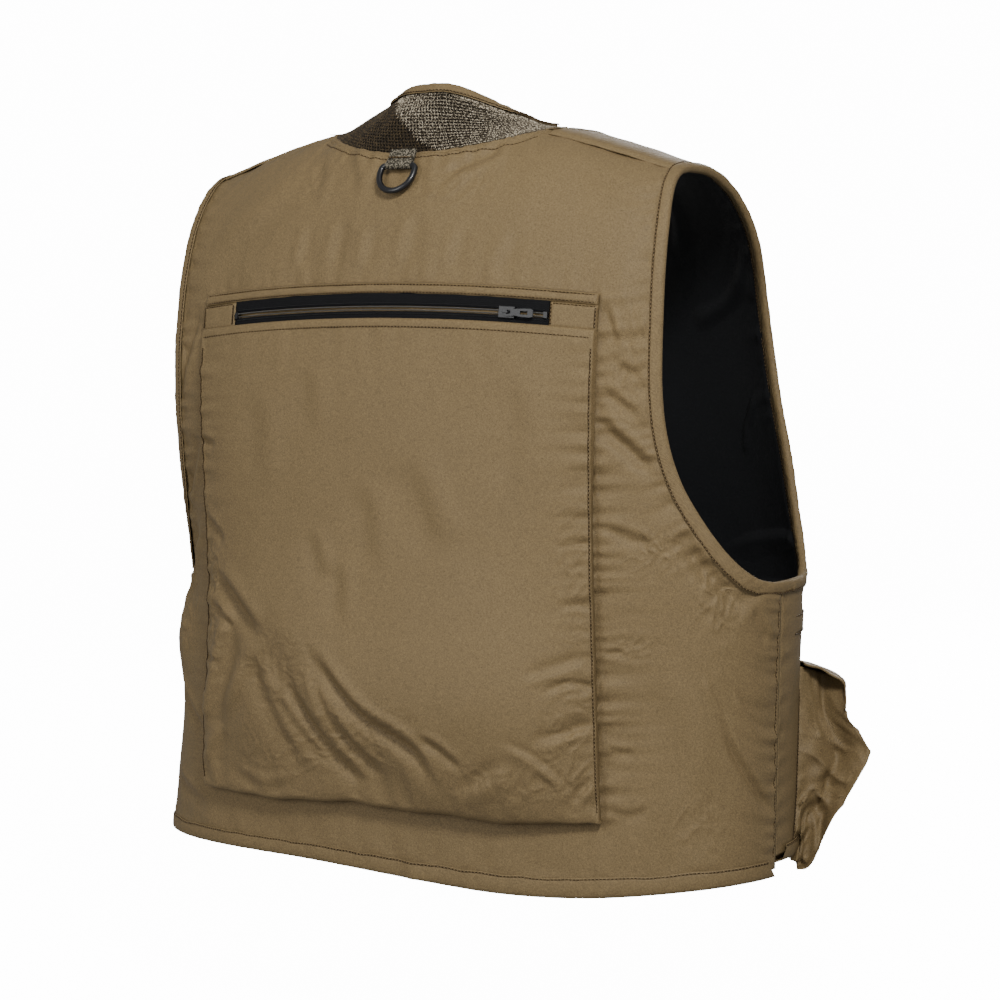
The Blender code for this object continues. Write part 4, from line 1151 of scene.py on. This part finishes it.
def bag_surface(x, h, o, q):
    """The back pocket's bag; q runs from its top seam (0) down round its puffed bottom to its foot (1)."""
    edge = np.abs(x) / POCKET_X
    o = np.where(o > BAG_SIDE, o + (BAG_SIDE - o) * edge ** 4.5, o)
    side_drop = 1 - smooth((1 - edge) / 0.012)
    o = o * (1 - side_drop) + 0.0004 * side_drop
    soft = smooth((1 - edge) / 0.035) * smooth((1.0 - q) / 0.10) * smooth(q / 0.05)
    extra = folds(x, h, BAG_FOLDS) + crumples(x, h, BAG_CRUMPLES, 603) + drape(x, h, 601, 0.0014)
    slump = smooth(along(x, h, SLUMP)[0] / 0.045) * smooth((0.215 - h) / 0.07)
    extra -= 0.0085 * slump * smooth(edge / -0.25 + 4)
    for i, line in enumerate(POCKET_SIDE):
        extra += pucker(x, h, line, 0.0034, 0.0090, 0.013, 611 + i)
    for at, height, seed in ((0.4185, 0.0018, 621), (0.050, 0.0036, 631)):
        extra += pucker(x, h, [(-POCKET_X, at), (POCKET_X, at)], height, 0.013, 0.016, seed)
    droop = 0.0030 * noise(x * 14, 0.3, 641) + 0.0012 * noise(x * 40, 0.6, 642)
    droop = droop * smooth((0.11 - h) / 0.07) * smooth((1 - edge) / 0.06)
    hh = h + arch(x) * smooth((h - 0.30) / 0.11) + droop
    tuck = 1 - 0.012 * side_drop * smooth((0.36 - h) / 0.10) * (x < 0)
    tuck = tuck + 0.045 * edge ** 2 * smooth((0.175 - h) / 0.11) * (x > 0)
    return skin(x * tuck, hh, True, np.maximum(o + CLOTH + extra * soft, 0.0004))


def back_bag():
    q = np.concatenate([np.linspace(0, 0.62, 170)[:-1], np.linspace(0.62, 1, 130)])
    h, o = profile(BAG_ROWS, q)
    e = np.linspace(-1, 1, 270)
    x = POCKET_X * np.sign(e) * (1 - (1 - np.abs(e)) ** 1.25)
    grids = np.broadcast_arrays(x[None], h[:, None], o[:, None], q[:, None])
    cloth("pocket_bag", bag_surface(*grids), TAN, ["back_pocket_bag"], thick=0.0007)
    h = np.linspace(0.052, 0.408, 120)
    o = np.interp(h, *np.array(BAG_ROWS)[::-1].T)
    for s in (1, -1):
        stitch_flat(bag_surface(s * (POCKET_X - 0.0034) + 0 * h, h, o, 0.5 + 0 * h), 0.0003)
    x = np.linspace(-0.178, 0.178, 160)
    stitch_flat(bag_surface(x, 0.4148 + 0 * x, 0.0052 + 0 * x, 0.02 + 0 * x), 0.0003)


def outline(x, h, inset):
    """The lines beside the border of a grid of x, h, at an inset: bottom, top and both ends."""
    rows, cols = x.shape
    u = inset / np.abs(x[0, -1] - x[0, 0])
    v = inset / np.abs(h[-1, 0] - h[0, 0])

    def at(a, b):
        i, j = a * (cols - 1), b * (rows - 1)
        i0, j0 = np.floor(i).astype(int).clip(0, cols - 2), np.floor(j).astype(int).clip(0, rows - 2)
        fi, fj = i - i0, j - j0
        return [(g[j0, i0] * (1 - fi) + g[j0, i0 + 1] * fi) * (1 - fj)
                + (g[j0 + 1, i0] * (1 - fi) + g[j0 + 1, i0 + 1] * fi) * fj for g in (x, h)]

    t = np.linspace(0, 1, 60)
    a, b = u + (1 - 2 * u) * t, v + (1 - 2 * v) * t
    return [at(a, v + 0 * t), at(a, 1 - v + 0 * t), at(u + 0 * t, b), at(1 - u + 0 * t, b)]


def flat_piece(name, replaced, x, h, back, lo, hi, seed, inset, sewn_at, sewn=4, press=0.0016, ripple=0.0006):
    """A sewn flat patch: crowned, pressed in at its stitched border, with a little ripple."""
    U, V = np.meshgrid(np.linspace(0, 1, x.shape[1]), np.linspace(0, 1, x.shape[0]))
    du = np.minimum(U, 1 - U) * np.abs(x[0, -1] - x[0, 0])
    dv = np.minimum(V, 1 - V) * np.abs(h[-1, 0] - h[0, 0])
    border = np.minimum(du, dv)
    top = hi - 0.0007 * np.exp(-((border - press) / 0.0009) ** 2) + ripple * noise(x * 55, h * 55, seed)
    o = lo + (top - lo) * (0.25 + 0.75 * smooth(border / 0.0018))
    cloth(name, skin(x, h, back, o), TAN, [replaced], thick=min(0.0012, hi - lo))
    for lx, lh in outline(x, h, inset)[:sewn]:
        stitch_flat(skin(lx, lh, back, sewn_at + 0 * lx), 0.0001)


def back_band():
    x = np.linspace(-POCKET_X, POCKET_X, 240)[None]
    v = np.linspace(0, 1, 14)[:, None]
    h = ZIP_H + TAPE - 0.0012 + (POCKET_TOP - ZIP_H - TAPE + 0.0012) * v + arch(x)
    flat_piece("pocket_band", "back_pocket_band", x + 0 * h, h, True, 0.0004, 0.0046, 701, 0.0022, 0.0044,
               sewn=2, press=0.0020)
    for s, side in SIDES:
        x = s * np.linspace(ZIP_X - 0.0008, POCKET_X, 26)[None]
        h = ZIP_H + TAPE * np.linspace(-1, 1, 16)[:, None] + arch(x)
        flat_piece("zip_patch_" + side, "zip_end_patch_" + side, x + 0 * h, h, True, 0.0008, 0.0047, 711 + s,
                   0.0020, 0.0046)


# ---------------------------------------------------------------- front pockets
def bellows(kind, s, side, spec, seed):
    """A pocket's bag: its face, and a pleated wall down each side."""
    lower = kind == "lower"
    n, m = 90 if lower else 70, 26          # rows, and points across each wall
    root = -0.0022                          # where a wall starts, under the front's cloth
    pleat, amp, give = (0.0085, 0.0020, 0.0046) if lower else (0.0030, 0.0012, 0.0010)
    r0, r1 = spec["r"]
    hs, oh = profile(spec["bag"], np.linspace(0, 1, n))
    oh = np.maximum(oh, 0.0012)
    mouth = spec["bag"][-1][0]
    # across: up the outer wall with one inward pleat, over the face, down the other wall
    wall = np.linspace(0, 1, m)
    inward = pleat * (1 - np.abs(2 * np.clip(wall - 0.08, 0, 1) - 1)) ** 1.2 * smooth(wall / 0.1)
    face = np.linspace(0, 1, 90)[1:-1]
    W = half_width(s, hs)
    x0, x1 = r0 * W, (r1 + spec["slant"] * np.clip(1 - hs / mouth, 0, 1)) * W
    xs = np.hstack([x0[:, None] + inward[None], x0[:, None] + (x1 - x0)[:, None] * face[None],
                    x1[:, None] - inward[None, ::-1]])
    share = np.concatenate([wall, np.ones(len(face)), wall[::-1]])[None]
    o = root + (oh[:, None] - root) * share
    H = hs[:, None] + 0 * xs
    down = np.linspace(0, 1, n)[:, None]
    soft = smooth(share / 0.25) * smooth(down / 0.08) * smooth((0.94 - down) / 0.14)
    extra = amp * (noise(xs * 16, H * 12 + share, seed) + 0.5 * noise(xs * 38, H * 30 + 2 * share, seed + 1))
    extra += 0.9 * amp * (creases(xs * 22, H * 26 + 2 * share, seed + 2) - 0.3)
    o = o + extra * soft
    # the side walls crumple too: slack folds that get denser towards the bottom
    side_wall = np.concatenate([np.ones(m), np.zeros(len(face)), np.ones(m)])[None]
    side_wall = side_wall * np.sin(share * math.pi) ** 0.6
    lean = share * 3.2 + H * 34
    slack = noise(lean, H * 60 - 2.2 * share, seed + 5) + 0.7 * (creases(0.8 * lean, H * 45, seed + 6) - 0.3)
    loose = give * side_wall * (0.25 + 1.1 * (1 - down) ** 1.5) * smooth(down / 0.05)
    xs = xs + np.sign(xs - (x0 + x1)[:, None] / 2) * slack * loose
    sag = 0.004 * soft * noise(xs * 9, share * 1.5 + H * 8, seed + 4) if lower else 0
    top = (spec["hinge"] - 0.0034 - mouth) * (1 - share) + 0.0034 * share
    H = H + sag + top * smooth((down - 0.86) / 0.14)
    if lower:
        H = H - 0.018 * (0.45 + 0.55 * share) * smooth((0.30 - down) / 0.30)
    o = np.maximum(o, root) + CLOTH * np.minimum(share / 0.2, 1)
    p = skin(s * xs, np.maximum(H, -0.012), False, o)
    cloth(f"{kind}_bag_{side}", p, TAN, [f"{kind}_pocket_{side}"], thick=0.0007)
    for j in (m + 1, p.shape[1] - m - 2):
        stitch_flat(p[4:-3, j], 0.0003)
    for r, sign in ((x0, -1), (x1, 1)):     # the seam that holds each wall to the front
        x, h = s * (r[6:-2] + sign * 0.0016), hs[6:-2]
        stitch_flat(skin(x, h, False, 0.0006 + front_out(s, x, h)), 0.0002)
    stitch_flat(p[-3, m:-m], 0.0003)


def flap(kind, s, side, spec, seed):
    """A pocket's flap, which lifts from its sewn top edge, and the hook and loop that shut it."""
    lower = kind == "lower"
    ease, slack, curl = (0.006, 2.0, 0.0042) if lower else (0.003, 1.0, 0.0010)
    body = f"{kind}_flap_{side}"
    mouth, deep = spec["bag"][-1]
    hinge, end = spec["hinge"], spec["flap"]
    lid = deep + CLOTH + 0.0026
    fh = np.array([hinge, hinge - 0.002, mouth + 0.006, mouth - 0.002, (mouth + end) / 2, end])
    fo = np.array([0.0012, 0.0030, lid, lid, lid, lid])
    run = run_along(np.stack([fh, fo], 1))
    at = np.linspace(0, 1, 60) * run[-1]
    h, o = (sum(np.interp(at + d, run, f) for d in np.linspace(-ease, ease, 7)) / 7 for f in (fh, fo))
    first, last = spec["r"][0] - 0.008, spec["r"][1] + 0.008
    r = np.linspace(first, last, 90)[None]
    H = h[:, None] + 0 * r
    X = share_x(s, r, H)
    t = (at / run[-1])[:, None]
    near = np.minimum(r - first, last - r) * 0.27
    edge = np.minimum(near, (1 - t) * 0.06)
    rim = -0.0005 * np.exp(-((edge - 0.003) / 0.0012) ** 2)
    wave = 0.0006 * noise(X * 40, H * 40, seed) + 0.0010 * noise(X * 16, H * 10, seed + 1)
    wave += 0.0006 * (creases(X * 30, H * 34 + t, seed + 2) - 0.3)
    O = o[:, None] + slack * (wave + 0.0004) * smooth(t / 0.3) + rim * smooth(t / 0.2)
    H = H + 0.0016 * slack * noise(X * 22, t * 2.5, seed + 3) * smooth(t / 0.2) * smooth((1 - t) / 0.2)
    O = O - curl * np.exp(-(near / 0.007) ** 2) * smooth((t - 0.15) / 0.3)
    p = skin(X, H, False, np.maximum(O, 0.0012) + 0.0012)
    cloth(f"{kind}_lid_{side}", p, TAN, [body], body=body, thick=0.0014)
    for row in (p[-4, 4:-4], p[-8, 4:-4], p[6:-4, 3], p[6:-4, -4]):
        stitch_flat(row, 0.0002, body)
    r0, r1 = spec["r"]
    mid, half = (r0 + r1) / 2, (r1 - r0) * 0.17
    h, r = np.meshgrid(np.linspace(end + 0.006, end + 0.022, 14), np.linspace(mid - half, mid + half, 30),
                       indexing="ij")
    x = share_x(s, r, h)
    fuzz = 0.0009 + 0.00012 * noise(x * 900, h * 900, seed + 7)
    for piece, gap, mat, who in (("loop", 0.0006, LOOP, "vest"), ("hook", 0.0020, HOOK, body)):
        cloth(f"{kind}_{piece}_patch_{side}", skin(x, h, False, deep + CLOTH + gap + fuzz), mat,
              [f"{kind}_{piece}_{side}"], body=who, thick=0.0009)


def side_straps():
    for s, side in SIDES:
        h, r = np.meshgrid(np.linspace(0.172, 0.188, 12), np.linspace(0.925, 0.9985, 26), indexing="ij")
        flat_piece("side_strap_" + side, "side_tab_" + side, share_x(s, r, h), h, False, -0.0012, 0.0007,
                   801 + s, 0.0012, 0.0006, sewn=2, ripple=0.0002)


def fly_patch():
    """Fleece patch: a dense pile over the CAD block's shape."""
    x, h, e = -0.118, 0.455, 0.006
    up = skin(x, h + e, False) - skin(x, h - e, False)
    acr = unit(skin(x + e, h, False) - skin(x - e, h, False))
    up = unit(up - acr * (up @ acr))
    out = np.cross(acr, up)
    c = skin(x, h, False) + out * 0.0085
    U, V = np.meshgrid(np.linspace(-1, 1, 90), np.linspace(-1, 1, 60))
    rim = np.clip((np.maximum(np.abs(U), np.abs(V)) - 0.93) / 0.07, 0, 1)
    pile = 0.0010 * np.abs(noise(U * 24, V * 15, 821)) + 0.0004 * noise(U * 60, V * 40, 822)
    z = 0.0028 - 0.0045 * rim ** 2 + pile * (1 - rim)
    p = c + U[..., None] * 0.028 * acr + V[..., None] * 0.017 * up + z[..., None] * out
    cloth("fleece_patch", p, FLEECE, ["fly_patch"], thick=0.0035)
    t = np.linspace(0, 1, 40)[:, None]
    for a, b in (((-1, -1), (1, -1)), ((-1, 1), (1, 1)), ((-1, -1), (-1, 1)), ((1, -1), (1, 1))):
        u, v = (a[i] + (b[i] - a[i]) * t for i in (0, 1))
        q = c + u * 0.0262 * acr + v * 0.0155 * up + 0.0026 * out
        stitch(q, np.tile(out, (len(q), 1)), lift=0.0002)


# ---------------------------------------------------------------- stage, light and camera
CAMERA_TURN, CAMERA_RISE, CAMERA_ROLL = (math.radians(a) for a in (212.5, 4.7, -1.5))
CAMERA_AIM, CAMERA_REACH, CAMERA_LENS = Vector((-0.1096, 0.1164, -0.2788)), 3.144, 149.6
# lamps: name, then towards the camera, right and up from the vest's middle, size and power
LAMPS = (("key", 2.4, 0.45, 1.5, 0.6, 79), ("fill", 2.0, -2.1, 0.5, 1.6, 37),
         ("top", 0.6, 0.4, 2.2, 1.4, 3), ("front", -2.4, 0.8, 1.2, 1.2, 34))
MIDDLE = Vector((-0.05, 0.0, -0.28))


def studio():
    az, el, roll = CAMERA_TURN, CAMERA_RISE, CAMERA_ROLL
    back = Vector((math.sin(az) * math.cos(el), -math.cos(az) * math.cos(el), math.sin(el)))
    right = (-back).cross(Vector((0, 0, 1))).normalized()
    up = right.cross(-back)
    r = right * math.cos(roll) + up * math.sin(roll)
    u = up * math.cos(roll) - right * math.sin(roll)
    data = bpy.data.cameras.new("camera")
    data.lens, data.sensor_width, data.clip_start, data.clip_end = CAMERA_LENS, 36, 0.05, 60
    m = Matrix.Identity(4)
    for i, v in enumerate((r, u, back)):
        m.col[i][:3] = v
    m.col[3][:3] = CAMERA_AIM + back * CAMERA_REACH
    camera = placed("camera", data)
    camera.matrix_world = m
    bpy.context.scene.camera = camera

    # a floor that turns up into a backdrop behind the vest, lit evenly by itself
    low = cad_box[0][2] - 0.12
    bend = [(3.0 + 1.5 * math.sin(a), low + 1.5 - 1.5 * math.cos(a)) for a in np.linspace(0, math.pi / 2, 40)]
    view = Vector((-back.x, -back.y, 0)).normalized()
    across = Vector((view.y, -view.x, 0))
    verts = []
    for d, z in [(-6.0, low), *bend, (4.5, 7.0)]:
        for w in (-8, 8):
            q = view * d + across * w
            verts.append((q.x, q.y, z))
    faces = [(i, i + 1, i + 3, i + 2) for i in range(0, len(verts) - 2, 2)]
    mesh = new_mesh("studio_floor", verts, faces)
    floor = material("pale_floor", (0.86, 0.86, 0.86), 0.9, grain=40, depth_mm=0.01, vary=0.01, blotch=0.01)
    shader = floor.node_tree.nodes["Principled BSDF"]
    shader.inputs["Emission Color"].default_value = (1, 1, 1, 1)
    shader.inputs["Emission Strength"].default_value = 14.0
    mesh.materials.append(floor)
    ob = placed("studio_floor", mesh)
    ob.visible_diffuse = ob.visible_glossy = ob.visible_shadow = False

    world = bpy.data.worlds.new("studio")
    world.use_nodes = True
    sky = world.node_tree.nodes["Background"]
    sky.inputs[0].default_value, sky.inputs[1].default_value = (1, 1, 1, 1), 0.38
    bpy.context.scene.world = world
    for name, toward, side, rise, size, power in LAMPS:
        lamp = bpy.data.lights.new(name, "AREA")
        lamp.shape, lamp.size, lamp.energy = "DISK", size, power
        ob = placed(name, lamp)
        ob.location = MIDDLE + back * toward + r * side + u * rise
        ob.rotation_euler = (MIDDLE - ob.location).to_track_quat("-Z", "Y").to_euler()


outer_shell()
shoulder_strips()
shell_seams()
for s_, side_ in SIDES:
    armhole_band(s_, side_)
hem_bands()
front_edges()
collar_net()
collar_top()
ring_tabs()
back_zip()
front_zip()
back_bag()
back_band()
for s_, side_ in SIDES:
    for kind_, spec_, seed_ in (("chest", CHEST, 901), ("lower", LOWER, 941)):
        bellows(kind_, s_, side_, spec_, seed_ + 10 * s_)
        flap(kind_, s_, side_, spec_, seed_ + 20 + 10 * s_)
side_straps()
fly_patch()
# the stitches, then the dark rods sunk under them: painted shade along the seams
for name_, found, mat_ in (("stitching_", seams, THREAD), ("painted_seam_shade_", seam_shades, SEAM_SHADE)):
    for body_, batches in found.items():
        rods(name_ + body_, batches, mat_, body_)
studio()

bpy.context.view_layer.update()
